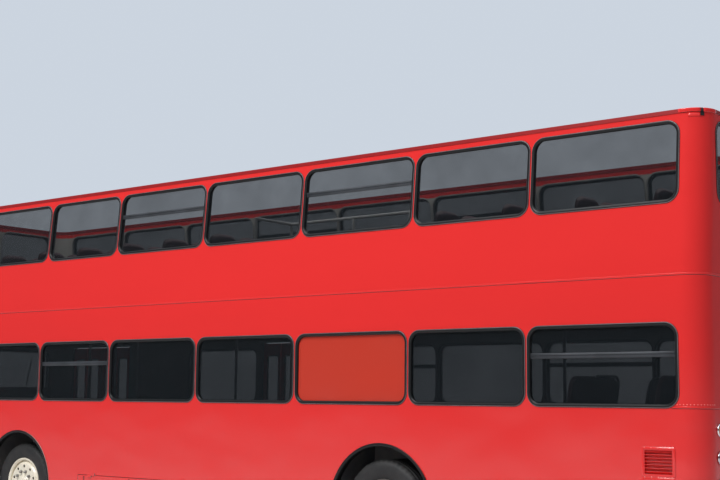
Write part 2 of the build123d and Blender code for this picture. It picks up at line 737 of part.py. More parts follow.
# Folding doors: two halves a doorway, each of a panel on a post and a panel hinged to that
for door_name, door_x in (("mid", mid_door_x), ("front", front_door_x)):
    for half_name, jamb_x, way in (("rear", door_x, 1), ("fore", door_x + door_width, -1)):
        post_x = jamb_x + way * leaf_jamb_in
        fold_x = post_x + way * leaf_arm
        tip_x = fold_x + way * leaf_arm
        for leaf_name, round_x, flat_x in (
            ("post", post_x, fold_x - way * leaf_fold_gap / 2),
            ("tip", tip_x, fold_x + way * leaf_fold_gap / 2),
        ):
            low_x = min(round_x, flat_x)
            high_x = max(round_x, flat_x)
            with BuildPart() as leaf:
                street_y = leaf_street_y
                room_y = leaf_street_y + leaf_thick
                add(block((low_x, street_y, leaf_low_z), (high_x, room_y, leaf_high_z)))
                low = (round_x, leaf_mid_y, leaf_low_z)
                add(rod(low, (round_x, leaf_mid_y, leaf_high_z), leaf_thick / 2))
                fold_y = leaf_street_y - leaf_fold_out
                for hinge_z in (620, 1900):
                    if leaf_name == "tip":
                        hinge_z += hinge_pitch
                    high_z = hinge_z + hinge_long
                    add(rod((fold_x, fold_y, hinge_z), (fold_x, fold_y, high_z), hinge_r))
                    strap_x = flat_x + (flat_x - fold_x) * 2
                    low = (min(fold_x, strap_x), fold_y - 2, hinge_z)
                    add(block(low, (max(fold_x, strap_x), street_y, high_z)))
                if leaf_name == "post":
                    low = (post_x, leaf_mid_y, door_sill_z + fit_gap)
                    add(rod(low, (post_x, leaf_mid_y, door_head_z - fit_gap), 8))
                with BuildSketch(Plane.XZ.offset(-room_y - 5)):
                    with Locations(((low_x + high_x) / 2, 1320)):
                        RectangleRounded(high_x - low_x - 90, 1500, 40)
                extrude(amount=leaf_thick + 10, mode=Mode.SUBTRACT)
            write(leaf.part, f"door_{door_name}_{half_name}_{leaf_name}")

# Engine lid in the rear wall and service flap in the left skirt
with BuildPart() as engine_lid:
    add(block((body_rear_x, -lid_half, lid_low_z), (body_rear_x + lid_thick, lid_half, lid_high_z)))
    for y in (-550, 500):
        add(lid_hinge((lid_hinge_x, y + hinge_pitch, lid_hinge_z), (0, 1, 0), (-1, 0, 0), -1))
write(engine_lid.part, "engine_lid")
with BuildPart() as service_flap:
    low = (flap_rear_x, half_width - flap_thick, skirt_z)
    add(block(low, (flap_front_x, half_width, flap_top_z)))
    for x in (flap_rear_x + 200, flap_front_x - 300):
        add(lid_hinge((x + hinge_pitch, flap_hinge_y, flap_hinge_z), (1, 0, 0), (0, 1, 0), -1))
write(service_flap.part, "service_flap")

# Air louvres: a frame with sloping slats, two on each side
slat_count = 7
with BuildPart() as louvres:
    for side in (1, -1):
        for low_z in louvre_low_z:
            outer_y = side * (half_width + 2)
            inner_y = side * (half_width - 26)
            g = fit_gap
            low_y = min(outer_y, inner_y)
            high_y = max(outer_y, inner_y)
            high_z = low_z + louvre_height
            low = (louvre_rear_x + g, low_y, low_z + g)
            frame = block(low, (louvre_front_x - g, high_y, high_z - g))
            add(frame)
            add(
                block((louvre_rear_x + 12, low_y - 5, low_z + 12), (louvre_front_x - 12, high_y + 5, high_z - 12)),
                mode=Mode.SUBTRACT,
            )
            pitch = (louvre_height - 24) / slat_count
            for i in range(slat_count):
                z = low_z + 12 + pitch * (i + 0.5)
                with Locations(Location(((louvre_rear_x + louvre_front_x) / 2, (low_y + high_y) / 2, z), (side * 40, 0, 0))):
                    Box(louvre_front_x - louvre_rear_x - 20, 24, 3)
write(louvres.part, "louvres")

# Engine between the frame rails under the rear platform, fuel tank (right) and battery box (left)
engine_half = rail_y - rail_width / 2 - 25
with BuildPart() as engine_block:
    engine_rear_x = body_rear_x + 260
    low = (engine_rear_x, -engine_half, 400)
    add(block(low, (engine_rear_x + 1350, engine_half, platform_z - floor_thick - 40)))
    for x in (engine_rear_x + 150, engine_rear_x + 1150):
        low = (x, engine_half - 10, rail_low_z + 30)
        add(both_sides(low, (x + 100, rail_y - rail_width / 2, rail_high_z - 20)))
write(engine_block.part, "engine_block")
with BuildPart() as underfloor_boxes:
    tank_x = front_axle_x - 1500
    add(block((tank_x, 130 - half_width, 360), (tank_x + 750, -560, floor_low_z)))
    battery_x = rear_axle_x + 2950
    add(block((battery_x, 620, 380), (battery_x + 1000, half_width - 100, floor_low_z)))
write(underfloor_boxes.part, "underfloor_boxes")


def seat(x, y, z, width, places):
    """A seat facing forward: rear edge of its back at x, middle at y, on a floor at z.

    places is how many people it takes: each has a squab with rounded corners, behind a cushion
    across the seat's width on one pedestal."""
    low_y = y - width / 2
    share = width / places
    with BuildPart() as made:
        with BuildSketch(Plane.XZ.offset(-low_y)):
            with BuildLine():
                Polyline([(x + along, z + up) for along, up in squab_section], close=True)
            make_face()
        extrude(amount=-width)
        with BuildSketch(Plane.YZ.offset(x - 10)):
            for i in range(places):
                with Locations((low_y + share * (i + 0.5), z + seat_back / 2)):
                    RectangleRounded(share - 16, seat_back, seat_corner_r)
        extrude(amount=600, mode=Mode.INTERSECT)
        with BuildSketch(Plane.XZ.offset(-low_y)):
            with BuildLine():
                Polyline([(x + along, z + up) for along, up in cushion_section], close=True)
            make_face()
        extrude(amount=-width)
        high = (x + 290, y + width / 2 - 80, z + cushion_low - fit_gap)
        add(block((x + 230, low_y + 80, z), high))
    return made.part


# Seats on both decks
seat_back = 800
seat_corner_r = 90
cushion_low = 350
cushion_rear = 112
squab_section = [
    (25, cushion_low),
    (cushion_rear - fit_gap, cushion_low),
    (cushion_rear - fit_gap, cushion_low + 90),
    (50, seat_back),
    (0, seat_back),
]
cushion_section = [
    (cushion_rear, cushion_low),
    (480, cushion_low),
    (520, cushion_low + 40),
    (515, cushion_low + 80),
    (480, cushion_low + 105),
    (cushion_rear, cushion_low + 77),
]
double_width = 860
lower_seat_y = half_width - 515
left_first_x = stair_foot_x + 120
left_last_x = front_axle_x - 1280
left_pitch = (left_last_x - left_first_x) / 3
# rear edge, floor height, sides
lower_seat_rows = [
    (body_rear_x + 380, platform_z, (1, -1)),
    (body_rear_x + 1210, platform_z, (1, -1)),
    (platform_front_x + 60, floor_z, (1, -1)),
    (rear_axle_x + 660, floor_z, (-1,)),
    (rear_axle_x + 1410, floor_z, (-1,)),
    (left_first_x, floor_z, (1,)),
    (left_first_x + left_pitch, floor_z, (1,)),
    (left_first_x + 2 * left_pitch, floor_z, (1,)),
    (left_last_x, floor_z, (1, -1)),
]
double_seat = seat(0, 0, 0, double_width, 2)
lower_made = [
    double_seat.moved(Location((x, side * lower_seat_y, z))) for x, z, sides in lower_seat_rows for side in sides
]
driver_y = half_width - 550
lower_made.append(seat(front_axle_x + 1000, driver_y, floor_z, 480, 1))
with BuildPart() as lower_seats:
    add(lower_made)
write(lower_seats.part, "lower_seats")
upper_seat_y = half_width - 595
upper_rows = 13
upper_first_x = body_rear_x + 420
upper_pitch = (body_front_x - 1740 - upper_first_x) / (upper_rows - 1)
upper_made = []
for i in range(upper_rows):
    x = upper_first_x + i * upper_pitch
    sides = (-1,) if stair_head_x - 600 < x < well_front_x + 80 else (1, -1)
    upper_made += [double_seat.moved(Location((x, side * upper_seat_y, upper_floor_z))) for side in sides]
with BuildPart() as upper_seats:
    add(upper_made)
write(upper_seats.part, "upper_seats")

# Driver's place: dashboard with the steering column, and the partition behind the seat
with BuildPart() as cab_partition:
    low = (front_axle_x + 800, driver_y - 530, floor_z)
    add(block(low, (front_axle_x + 830, inside_y, floor_z + 1000)))
    add(block(low, (front_axle_x + 1650, driver_y - 505, floor_z + 900)))
write(cab_partition.part, "cab_partition")
wheel_tilt = 25
column_top = (front_axle_x + 1550, driver_y, floor_z + 760)
tilt = math.radians(wheel_tilt)
column_way = (math.sin(tilt), 0, -math.cos(tilt))
column_foot = [a + 500 * b for a, b in zip(column_top, column_way)]
with BuildPart() as dashboard:
    with BuildSketch(Plane.XZ.offset(500 - driver_y)):
        with BuildLine():
            Polyline(
                (body_front_x - 320, floor_z),
                (body_front_x - 710, floor_z + 300),
                (body_front_x - 690, floor_z + 620),
                (body_front_x - 420, floor_z + 720),
                (body_front_x - 170, floor_z + 720),
                (body_front_x - 170, floor_z),
                close=True,
            )
        make_face()
    extrude(amount=-850)
    add(rod(column_top, column_foot, 30))
write(dashboard.part, "dashboard")
hub_high = [a - 50 * b for a, b in zip(column_top, column_way)]
ring_mid = [a - 40 * b for a, b in zip(column_top, column_way)]
ring_r = 225
ring_half = 14
ring_sides = 32
ring_place = Plane(origin=ring_mid, z_dir=column_way)
with BuildPart() as steering_wheel:
    outer = ((-ring_half, ring_r + 4), (-4, ring_r + ring_half), (4, ring_r + ring_half), (ring_half, ring_r + 4))
    inner = ((-ring_half, ring_r - 4), (-4, ring_r - ring_half), (4, ring_r - ring_half), (ring_half, ring_r - 4))
    add(faceted(outer, ring_sides, ring_place))
    add(faceted(inner, ring_sides, ring_place), mode=Mode.SUBTRACT)
    add(rod([a - fit_gap * b for a, b in zip(column_top, column_way)], hub_high, 35))
    with Locations(ring_place):
        for turn in (0, 90):
            Box(2 * ring_r, 30, 8, rotation=(0, 0, turn))
write(steering_wheel.part, "steering_wheel")

# Handrails: upright poles by the doors and a guard round the stairwell
ceiling_z = upper_floor_z - upper_floor_thick
pole_r = 17
with BuildPart() as handrails:
    door_y = 410 - half_width
    for x, y in (
        (mid_door_x - 110, door_y),
        (mid_door_x + door_width + 120, door_y),
        (front_door_x - 110, door_y),
        (stair_foot_x + 150, 200),
        (platform_front_x + 100, -200),
        (front_axle_x - 250, -400),
        (front_axle_x - 250, 400),
    ):
        add(rod((x, y, floor_z), (x, y, ceiling_z), pole_r))
    guard_z = upper_floor_z + 900
    guard_y = stair_high_y - 85
    y = stair_low_y - 40
    for x in (stair_head_x + 100, (stair_head_x + well_front_x) / 2, well_front_x + 40):
        add(rod((x, y, upper_floor_z), (x, y, guard_z), pole_r))
    add(rod((stair_head_x + 100, y, guard_z), (well_front_x + 40, y, guard_z), pole_r))
    add(rod((well_front_x + 40, y, guard_z), (well_front_x + 40, guard_y, guard_z), pole_r))
    add(rod((well_front_x + 40, guard_y, upper_floor_z), (well_front_x + 40, guard_y, guard_z), pole_r))
    for x, way_y in ((well_front_x + 40, y), (well_front_x + 40, guard_y), (stair_head_x + 100, y)):
        add(Solid.make_sphere(pole_r, Plane(origin=(x, way_y, guard_z))))
write(handrails.part, "handrails")

# Bumpers, the front one with a towing eye, then lamps and mirrors
tow_eye_y = 450
tow_hole_r = 20
with BuildPart() as bumpers:
    add(wall_ring(front_split_x + 40, 2 * far + body_front_x, bumper_depth, 380, 540))
    add(wall_ring(-2 * far + body_rear_x, rear_split_x - 30, bumper_depth, skirt_z, 430))
    eye_x = body_front_x + bumper_depth + 50
    add(block((eye_x - 60, -tow_eye_y - 45, 445), (eye_x, 45 - tow_eye_y, 475)))
    add(rod((eye_x, -tow_eye_y, 445), (eye_x, -tow_eye_y, 475), 45))
    add(rod((eye_x, -tow_eye_y, 440), (eye_x, -tow_eye_y, 480), tow_hole_r), mode=Mode.SUBTRACT)
write(bumpers.part, "bumpers")
lamp_rim = 9


def lamp(base, way, radius):
    """A round lamp on a flat wall: a bezel with a domed lens inside it, way +1 to the front."""
    x, y, z = base
    section = [
        (0, 0),
        (0, radius),
        (14, radius),
        (20, radius - 3),
        (20, radius - lamp_rim),
        (16, radius - lamp_rim - 2),
        (24, radius * 0.6),
        (28, radius * 0.25),
        (29, 0),
    ]
    with BuildPart() as made:
        with BuildSketch(Plane.XY.offset(z)):
            with BuildLine():
                Polyline([(x + way * a, y + r) for a, r in section], close=True)
            make_face()
        revolve(axis=Axis((x, y, z), (1, 0, 0)))
    return made.part


with BuildPart() as front_lamps:
    for side in (1, -1):
        for lamp_y, radius in ((half_width - 550, 82), (half_width - 370, 82)):
            add(lamp((body_front_x, side * lamp_y, 720), 1, radius))
write(front_lamps.part, "front_lamps")
tail_lamp_r = 56
tail_lamp_y = half_width - 265
with BuildPart() as tail_lamps:
    for side in (1, -1):
        for z in (858, 1078, 1298):
            add(lamp((body_rear_x, side * tail_lamp_y, z), -1, tail_lamp_r))
write(tail_lamps.part, "tail_lamps")
mirror_y = half_width + 40
with BuildPart() as mirrors:
    for side in (1, -1):
        head_front = body_front_x + bumper_depth + mirror_lead
        y = side * mirror_y
        with BuildSketch(Plane.YZ.offset(head_front - 60)):
            with Locations((y, 1890)):
                RectangleRounded(200, 380, 45)
        extrude(amount=60, taper=6)
        start = (head_front - 30, y, 2070)
        corner = (head_front - 30, y, 2230)
        foot_y = side * (half_width - 350)
        foot = (body_front_x + 18, foot_y, 2230)
        add(block((body_front_x, foot_y - 35, 2195), (body_front_x + 32, foot_y + 35, 2265)))
        add(rod(start, corner, 14))
        add(Solid.make_sphere(14, Plane(origin=corner)))
        add(rod(corner, foot, 14))
write(mirrors.part, "mirrors")
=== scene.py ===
import math
import bmesh
import bpy
import numpy as np
from mathutils import Matrix, Vector


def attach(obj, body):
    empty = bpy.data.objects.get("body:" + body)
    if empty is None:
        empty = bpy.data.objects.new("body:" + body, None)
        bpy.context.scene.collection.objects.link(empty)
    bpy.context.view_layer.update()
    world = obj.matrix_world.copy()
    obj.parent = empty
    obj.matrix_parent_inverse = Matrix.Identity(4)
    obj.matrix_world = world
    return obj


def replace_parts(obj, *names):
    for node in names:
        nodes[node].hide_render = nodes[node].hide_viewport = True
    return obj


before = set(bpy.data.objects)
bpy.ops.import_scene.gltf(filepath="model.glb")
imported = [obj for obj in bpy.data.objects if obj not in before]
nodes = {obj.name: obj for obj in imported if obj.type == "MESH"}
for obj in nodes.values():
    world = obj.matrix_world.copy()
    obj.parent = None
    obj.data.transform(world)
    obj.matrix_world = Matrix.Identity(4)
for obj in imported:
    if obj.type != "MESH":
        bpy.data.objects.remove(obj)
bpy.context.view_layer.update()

# The camera stands on the pavement behind the bus's left rear corner, at eye level, tilted up a
# little, with a lens of 65 mm on a 36 mm frame.
camera_at = Vector((-10.140, 10.993, 1.514))
camera_yaw = math.radians(39.259)
camera_pitch = math.radians(7.021)
camera_roll = math.radians(0.549)
level_ahead = Vector((math.sin(camera_yaw), -math.cos(camera_yaw), 0))
level_right = Vector((-math.cos(camera_yaw), -math.sin(camera_yaw), 0))
plumb = Vector((0, 0, 1))
view_ahead = level_ahead * math.cos(camera_pitch) + plumb * math.sin(camera_pitch)
view_up = plumb * math.cos(camera_pitch) - level_ahead * math.sin(camera_pitch)
right_rolled = level_right * math.cos(camera_roll) + view_up * math.sin(camera_roll)
up_rolled = view_up * math.cos(camera_roll) - level_right * math.sin(camera_roll)
camera = bpy.data.objects.new("camera", bpy.data.cameras.new("camera"))
bpy.context.collection.objects.link(camera)
camera.matrix_world = Matrix.Translation(camera_at) @ Matrix(
    (right_rolled, up_rolled, -view_ahead)
).transposed().to_4x4()
camera.data.lens = 65
camera.data.sensor_width = 36
camera.data.clip_end = 400
bpy.context.scene.camera = camera


# The studio: a pale floor that runs past the edge of the view, a dome that is bright above and dim
# towards the bus's left and rear, as dark cards are there for the gloss, and two broad soft lamps.
bpy.context.scene.view_settings.view_transform = "Standard"


def plain(name, colour, rough, **sockets):
    """A Principled material with constants only; returns it with its shader node."""
    made = bpy.data.materials.new(name)
    made.use_nodes = True
    shader = made.node_tree.nodes["Principled BSDF"]
    shader.inputs["Base Color"].default_value = (*colour, 1)
    shader.inputs["Roughness"].default_value = rough
    for socket, value in sockets.items():
        shader.inputs[socket.replace("_", " ")].default_value = value
    return made, shader


def wire(tree, kind, settings=(), **links):
    """A new node whose inputs are set: a value, or an output socket of another node. An input goes
    by its name, or by n and its number."""
    node = tree.nodes.new(kind)
    for key, value in dict(settings).items():
        setattr(node, key, value)
    for key, value in links.items():
        numbered = key[0] == "n" and key[1:].isdigit()
        socket = node.inputs[int(key[1:]) if numbered else key.replace("_", " ")]
        if hasattr(value, "is_output"):
            tree.links.new(value, socket)
        else:
            socket.default_value = value
    return node


def calc(tree, operation, one, other, clamp=False):
    """The result of a maths node."""
    settings = {"operation": operation, "use_clamp": clamp}
    return wire(tree, "ShaderNodeMath", settings, n0=one, n1=other).outputs[0]


def ranged(tree, value, low, high, to_low=0.0, to_high=1.0, kind="LINEAR"):
    """A value mapped from between low and high to between to_low and to_high."""
    settings = {"interpolation_type": kind}
    node = wire(tree, "ShaderNodeMapRange", settings, n0=value, n1=low, n2=high, n3=to_low, n4=to_high)
    return node.outputs[0]


def blended(tree, share, one, other):
    """Two colours mixed by a share; each is a tuple or an output socket of another node."""
    one, other = ((*end, 1) if isinstance(end, tuple) else end for end in (one, other))
    return wire(tree, "ShaderNodeMix", {"data_type": "RGBA"}, n0=share, n6=one, n7=other).outputs[2]


def quads(name, points, faces):
    """A mesh object from an (n, 3) array of points and an (m, 4) array of corner numbers."""
    mesh = bpy.data.meshes.new(name)
    points = np.asarray(points, float)
    faces = np.asarray(faces, int)
    mesh.vertices.add(len(points))
    mesh.vertices.foreach_set("co", points.ravel())
    mesh.loops.add(faces.size)
    mesh.loops.foreach_set("vertex_index", faces.ravel())
    mesh.polygons.add(len(faces))
    mesh.polygons.foreach_set("loop_start", np.arange(len(faces)) * faces.shape[1])
    mesh.update(calc_edges=True)
    mesh.polygons.foreach_set("use_smooth", np.full(len(faces), True))
    made = bpy.data.objects.new(name, mesh)
    bpy.context.collection.objects.link(made)
    return made


floor_half = 120
corners = [(x * floor_half, y * floor_half, 0) for x, y in ((-1, -1), (1, -1), (1, 1), (-1, 1))]
floor = quads("studio_floor", corners, [(0, 1, 2, 3)])
floor.data.materials.append(plain("pale_floor", (0.62, 0.62, 0.61), 0.8)[0])
dome = bpy.data.worlds.new("studio_dome")
bpy.context.scene.world = dome
dome.use_nodes = True
sky = dome.node_tree
way = wire(sky, "ShaderNodeTexCoord").outputs["Generated"]
axes = wire(sky, "ShaderNodeSeparateXYZ", n0=way).outputs
rearward = calc(sky, "MULTIPLY", axes["X"], -1.0)
dark_side = calc(sky, "MAXIMUM", rearward, axes["Y"])
card = ranged(sky, dark_side, 0.0, 0.35, 1.0, 0.0, "SMOOTHSTEP")
above = ranged(sky, axes["Z"], 0.30, 0.75, 0.0, 1.0, "SMOOTHSTEP")
bright = calc(sky, "MAXIMUM", card, above)
tones = blended(sky, bright, (0.10, 0.115, 0.13), (0.60, 0.66, 0.74))
sky.links.new(tones, sky.nodes["Background"].inputs["Color"])
sky.nodes["Background"].inputs["Strength"].default_value = 1.0
for lamp_name, place, target, wide, watts in (
    ("key_lamp", (-1, 16, 21), (0, 0, 2), 12, 5600),
    ("top_lamp", (1, -3, 19), (0, 0, 2), 14, 1500),
):
    lamp = bpy.data.objects.new(lamp_name, bpy.data.lights.new(lamp_name, "AREA"))
    lamp.data.energy = watts
    lamp.data.size = wide
    lamp.location = place
    lamp.rotation_euler = (Vector(place) - Vector(target)).to_track_quat("Z", "Y").to_euler()
    bpy.context.collection.objects.link(lamp)


# The body is of sheet panels on a frame, sprayed in glossy red. The panels are a little wavy, so
# reflections wander, and the skirt carries a thin film of road dust. Each deck has its own panels.
def feed(shader, **sockets):
    """Links output sockets of other nodes to a shader's inputs."""
    for name, source in sockets.items():
        shader.id_data.links.new(source, shader.inputs[name.replace("_", " ")])


def group(name, output, kind, **inputs):
    """A shader node group with float inputs and one output: the group, the sockets of its inputs,
    the socket of its output, and the place on the object for its textures."""
    made = bpy.data.node_groups.new(name, "ShaderNodeTree")
    for socket, value in inputs.items():
        item = made.interface.new_socket(socket, in_out="INPUT", socket_type="NodeSocketFloat")
        item.default_value = value
    made.interface.new_socket(output, in_out="OUTPUT", socket_type=kind)
    given = made.nodes.new("NodeGroupInput").outputs
    result = made.nodes.new("NodeGroupOutput").inputs[output]
    return made, given, result, wire(made, "ShaderNodeTexCoord").outputs["Object"]


def placed(tree, made, **inputs):
    """A group placed in a material with its own values; gives the group's output."""
    return wire(tree, "ShaderNodeGroup", {"node_tree": made}, **inputs).outputs[0]


def height_at(tree, place):
    """The height of a place."""
    return wire(tree, "ShaderNodeSeparateXYZ", Vector=place).outputs["Z"]


def noise(tree, place, scale, detail, rough=0.5):
    """Soft noise over a place, from 0 to 1."""
    settings = {"Vector": place, "Scale": scale, "Detail": detail, "Roughness": rough}
    return wire(tree, "ShaderNodeTexNoise", **settings).outputs[0]


def lifted(tree, height, distance, strength, **normal):
    """The normal of a surface that a height from 0 to 1 lifts by up to distance."""
    settings = {"Height": height, "Distance": distance, "Strength": strength}
    return wire(tree, "ShaderNodeBump", **settings, **normal).outputs[0]


# sheet waves: broad soft noise stretched along the body, for the normal
waves, given, result, place = group("sheet_waves", "Normal", "NodeSocketVector", Depth=0.1, Fine=0.02)
stretch = wire(waves, "ShaderNodeMapping", Vector=place, Scale=(0.8, 0.8, 1.3)).outputs[0]
broad = noise(waves, stretch, 1.6, 1.5, 0.4)
orange_peel = lifted(waves, noise(waves, place, 260.0, 1.0), 0.001, given["Fine"])
waves.links.new(lifted(waves, broad, 0.09, given["Depth"], Normal=orange_peel), result)

# road film: dust that thickens towards the road, in streaks, as a mask
film, given, result, place = group("road_film", "Mask", "NodeSocketFloat", Top=1.2, Amount=0.5)
down = calc(film, "DIVIDE", height_at(film, place), given["Top"])
near = calc(film, "SUBTRACT", 1.0, down, clamp=True)
streaks = wire(film, "ShaderNodeMapping", Vector=place, Scale=(3.0, 3.0, 0.7)).outputs[0]
patchy = calc(film, "MULTIPLY", near, noise(film, streaks, 2.4, 5.0, 0.6))
film.links.new(calc(film, "MULTIPLY", patchy, given["Amount"], clamp=True), result)

# inner face: 1 where a wall's face looks towards the middle of the bus, as a mask
inner, given, result, place = group("inner_face", "Mask", "NodeSocketFloat", Sharp=8.0)
normal = wire(inner, "ShaderNodeNewGeometry").outputs["Normal"]
times, dot = {"operation": "MULTIPLY"}, {"operation": "DOT_PRODUCT"}
level = wire(inner, "ShaderNodeVectorMath", times, n0=place, n1=(0.22, 1.0, 0.0)).outputs[0]
facing = wire(inner, "ShaderNodeVectorMath", dot, n0=normal, n1=level).outputs["Value"]
turned_in = calc(inner, "MULTIPLY", facing, -1.0)
inner.links.new(calc(inner, "MULTIPLY", turned_in, given["Sharp"], clamp=True), result)


def sprayed(name, colour, dust=0.5, depth=0.14, rough=0.16, lining=None):
    """Sprayed gloss paint on sheet: colour, waves in the normal, dust towards the road. A lining
    colour covers what faces inward below the upper windows' heads."""
    made, shader = plain(name, colour, rough, Coat_Weight=0.22, Coat_Roughness=0.07)
    tree = made.node_tree
    mask = placed(tree, film, Amount=dust)
    colours = blended(tree, mask, colour, (0.22, 0.13, 0.10))
    grit = ranged(tree, mask, 0.0, 1.0, rough, 0.7)
    if lining:
        place = wire(tree, "ShaderNodeTexCoord").outputs["Object"]
        below = ranged(tree, height_at(tree, place), 3.842, 3.850, 1.0, 0.0)
        lined = calc(tree, "MULTIPLY", placed(tree, inner), below)
        colours = blended(tree, lined, colours, lining)
        grit = ranged(tree, lined, 0.0, 1.0, grit, 0.55)
    feed(shader, Base_Color=colours, Roughness=grit, Normal=placed(tree, waves, Depth=depth))
    return made


def finish_nodes(material, *names):
    """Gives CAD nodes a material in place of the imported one."""
    for name in names:
        mesh = nodes[name].data
        mesh.materials.clear()
        mesh.materials.append(material)


body_red = (0.72, 0.026, 0.024)
body_paint = sprayed("body_red_gloss", body_red, dust=0.08, lining=(0.34, 0.33, 0.30))
panels = [f"{panel}_{deck}" for deck in ("lower", "upper") for panel in ("left_side", "right_side")]
ends = [f"{panel}_{deck}" for deck in ("lower", "upper") for panel in ("front_end", "rear_end")]
finish_nodes(body_paint, *panels, *ends, "engine_lid", "service_flap")
finish_nodes(sprayed("rail_red", (0.30, 0.011, 0.012), dust=0.0, rough=0.3), "top_rail")
finish_nodes(sprayed("blank_panel_red", (0.50, 0.038, 0.020), dust=0.0, depth=0.16), "blank_panel")
halves = [f"door_{door}_{half}" for door in ("mid", "front") for half in ("rear", "fore")]
leaf_names = [f"{half}_{leaf}" for half in halves for leaf in ("post", "tip")]
finish_nodes(sprayed("leaf_red", body_red, dust=0.4, depth=0.05), *leaf_names)


# Side, front and rear panes are toughened glass with a grey tint, held by rubber. The tint lets
# the lit upper deck show through; below the upper floor it is a little denser, as painted shade
# that leaves the lower saloon dark.
def textured(name, colour, rough, **sockets):
    """A plain material, its shader, its node tree, and the place on the object for textures."""
    made, shader = plain(name, colour, rough, **sockets)
    tree = made.node_tree
    return made, shader, tree, wire(tree, "ShaderNodeTexCoord").outputs["Object"]


pane_glass, shader, tree, place = textured("tinted_pane", (0.008, 0.010, 0.012), 0.03, IOR=1.5)
# the pane's alpha rises a little below the upper floor: painted shade over the lower saloon
tint_and_painted_shade = ranged(tree, height_at(tree, place), 2.4, 2.6, 0.58, 0.54)
smears = noise(tree, place, 1.7, 6.0, 0.7)
clouded = calc(tree, "ADD", tint_and_painted_shade, ranged(tree, smears, 0.3, 0.8, -0.03, 0.06), clamp=True)
feed(shader, Alpha=clouded, Roughness=ranged(tree, smears, 0.4, 0.8, 0.02, 0.12))
finish_nodes(pane_glass, "side_glass", "end_glass")

# Every pane and the blank panel sit in a black rubber section that grips the edge of the opening:
# a rounded lip over the wall outside, and a bead over the pane. A key strip, pressed into a slot
# all round, locks it; its paler grey is partly painted highlight, for the light line along the
# rubber. A grey plastic trim frames the lining inside.
half_width = 1.25
body_rear_x, body_front_x = -5.71, 5.57
lean_start, lean_full, lean_angle = 2.2, 2.74, math.radians(5)
front_lean_share = 0.5
lean_radius = (lean_full - lean_start) / math.sin(lean_angle)


def lean(z):
    """How far the wall stands in at height z: none, then an arc, then a straight slope."""
    z = np.asarray(z, float)
    rise = np.clip(z - lean_start, 0, lean_full - lean_start)
    arc = lean_radius - np.sqrt(lean_radius**2 - rise**2)
    return arc + np.clip(z - lean_full, 0, None) * math.tan(lean_angle)


def front_x(z):
    """Where the front wall's outer face is at height z: it stands in by a share of the side's lean."""
    return body_front_x - front_lean_share * lean(z)


def ring_points(wide, high, radius, steps=8):
    """A rounded rectangle round the origin: its points, and the outward direction at each."""
    turn = np.linspace(0, math.pi / 2, steps + 1)
    quarter = np.arange(4)[:, None] * math.pi / 2 + turn
    out = np.stack([np.cos(quarter), np.sin(quarter)], -1)
    middle = np.array([(1, 1), (-1, 1), (-1, -1), (1, -1)]) * (wide / 2 - radius, high / 2 - radius)
    return (middle[:, None] + out * radius).reshape(-1, 2), out.reshape(-1, 2)


def lattice(rows, columns, ring=False, turn=True):
    """The faces of a grid of points, row by row. With ring the last row meets the first, and with
    turn each row's last point meets its first."""
    down = np.arange(rows if ring else rows - 1)
    across = np.arange(columns if turn else columns - 1)
    i, j = np.meshgrid(down, across, indexing="ij")
    low, high = i * columns, (i + 1) % rows * columns
    beside = (j + 1) % columns
    return np.stack([low + j, high + j, high + beside, low + beside], -1).reshape(-1, 4)


def carried(path, out, rise, profile, closed=True):
    """A closed profile carried along a path, which is closed or ends in closed faces: each profile
    point (a, b) lies a along out and b along rise from each path point."""
    a, b = np.asarray(profile, float).T
    rise = np.broadcast_to(rise, path.shape)
    points = path[:, None] + out[:, None] * a[None, :, None] + rise[:, None] * b[None, :, None]
    if not closed:
        first, last = (np.broadcast_to(points[k].mean(0), points[:1].shape) for k in (0, -1))
        points = np.concatenate([first, points, last])
    return points.reshape(-1, 3), lattice(*points.shape[:2], ring=closed)


def outward(made):
    """Closes seams and poles by merging points that coincide, then turns every face outward."""
    work = bmesh.new()
    work.from_mesh(made.data)
    bmesh.ops.remove_doubles(work, verts=work.verts, dist=1e-5)
    bmesh.ops.recalc_face_normals(work, faces=work.faces)
    work.to_mesh(made.data)
    work.free()
    return made


def piece(name, parts, material, body="body"):
    """One closed object from many (points, faces) pairs, riding on a body."""
    starts = np.cumsum([0] + [len(p) for p, _ in parts[:-1]])
    points = np.concatenate([p for p, _ in parts])
    faces = np.concatenate([f + s for (_, f), s in zip(parts, starts)])
    made = quads(name, points, faces)
    made.data.materials.append(material)
    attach(made, body)
    return outward(made)


pillar, window_r = 0.036, 0.11
bay_widths = [1.440, 1.295, 1.425, 1.425, 1.425, 1.275, 1.285, 1.225]
bay_edges = -5.503 + np.concatenate([[0], np.cumsum(bay_widths)[:-1]])
right_lower_bays = (0, 1, 2, 3, 5)
last_bay_shorter = 0.075
lower_sill, lower_head = 1.482, 2.158
upper_sill, upper_head = 3.161, 3.846
display_sill, display_head = 2.235, 2.435
# side windows: side, bay, middle along the wall, width, sill, head
side_windows = []
for side in (1, -1):
    for i, (edge, wide) in enumerate(zip(bay_edges, bay_widths)):
        if side > 0 or i in right_lower_bays:
            side_windows.append((side, i, edge + wide / 2, wide - pillar, lower_sill, lower_head))
        wide_up = wide - (last_bay_shorter if i == 7 else 0)
        side_windows.append((side, i, edge + wide_up / 2, wide_up - pillar, upper_sill, upper_head))
# end windows: end, middle along the wall, width, sill, head
end_windows = [(1, s * 0.5025, 0.955, 1.060, 2.170) for s in (1, -1)]
end_windows += [(1, s * 0.448, 0.840, 2.960, upper_head) for s in (1, -1)]
end_windows += [(-1, s * 0.472, 0.890, upper_sill, upper_head) for s in (1, -1)]
end_windows += [(-1, 0.0, 1.600, lower_sill, lower_head), (1, 0.0, 1.500, display_sill, display_head)]
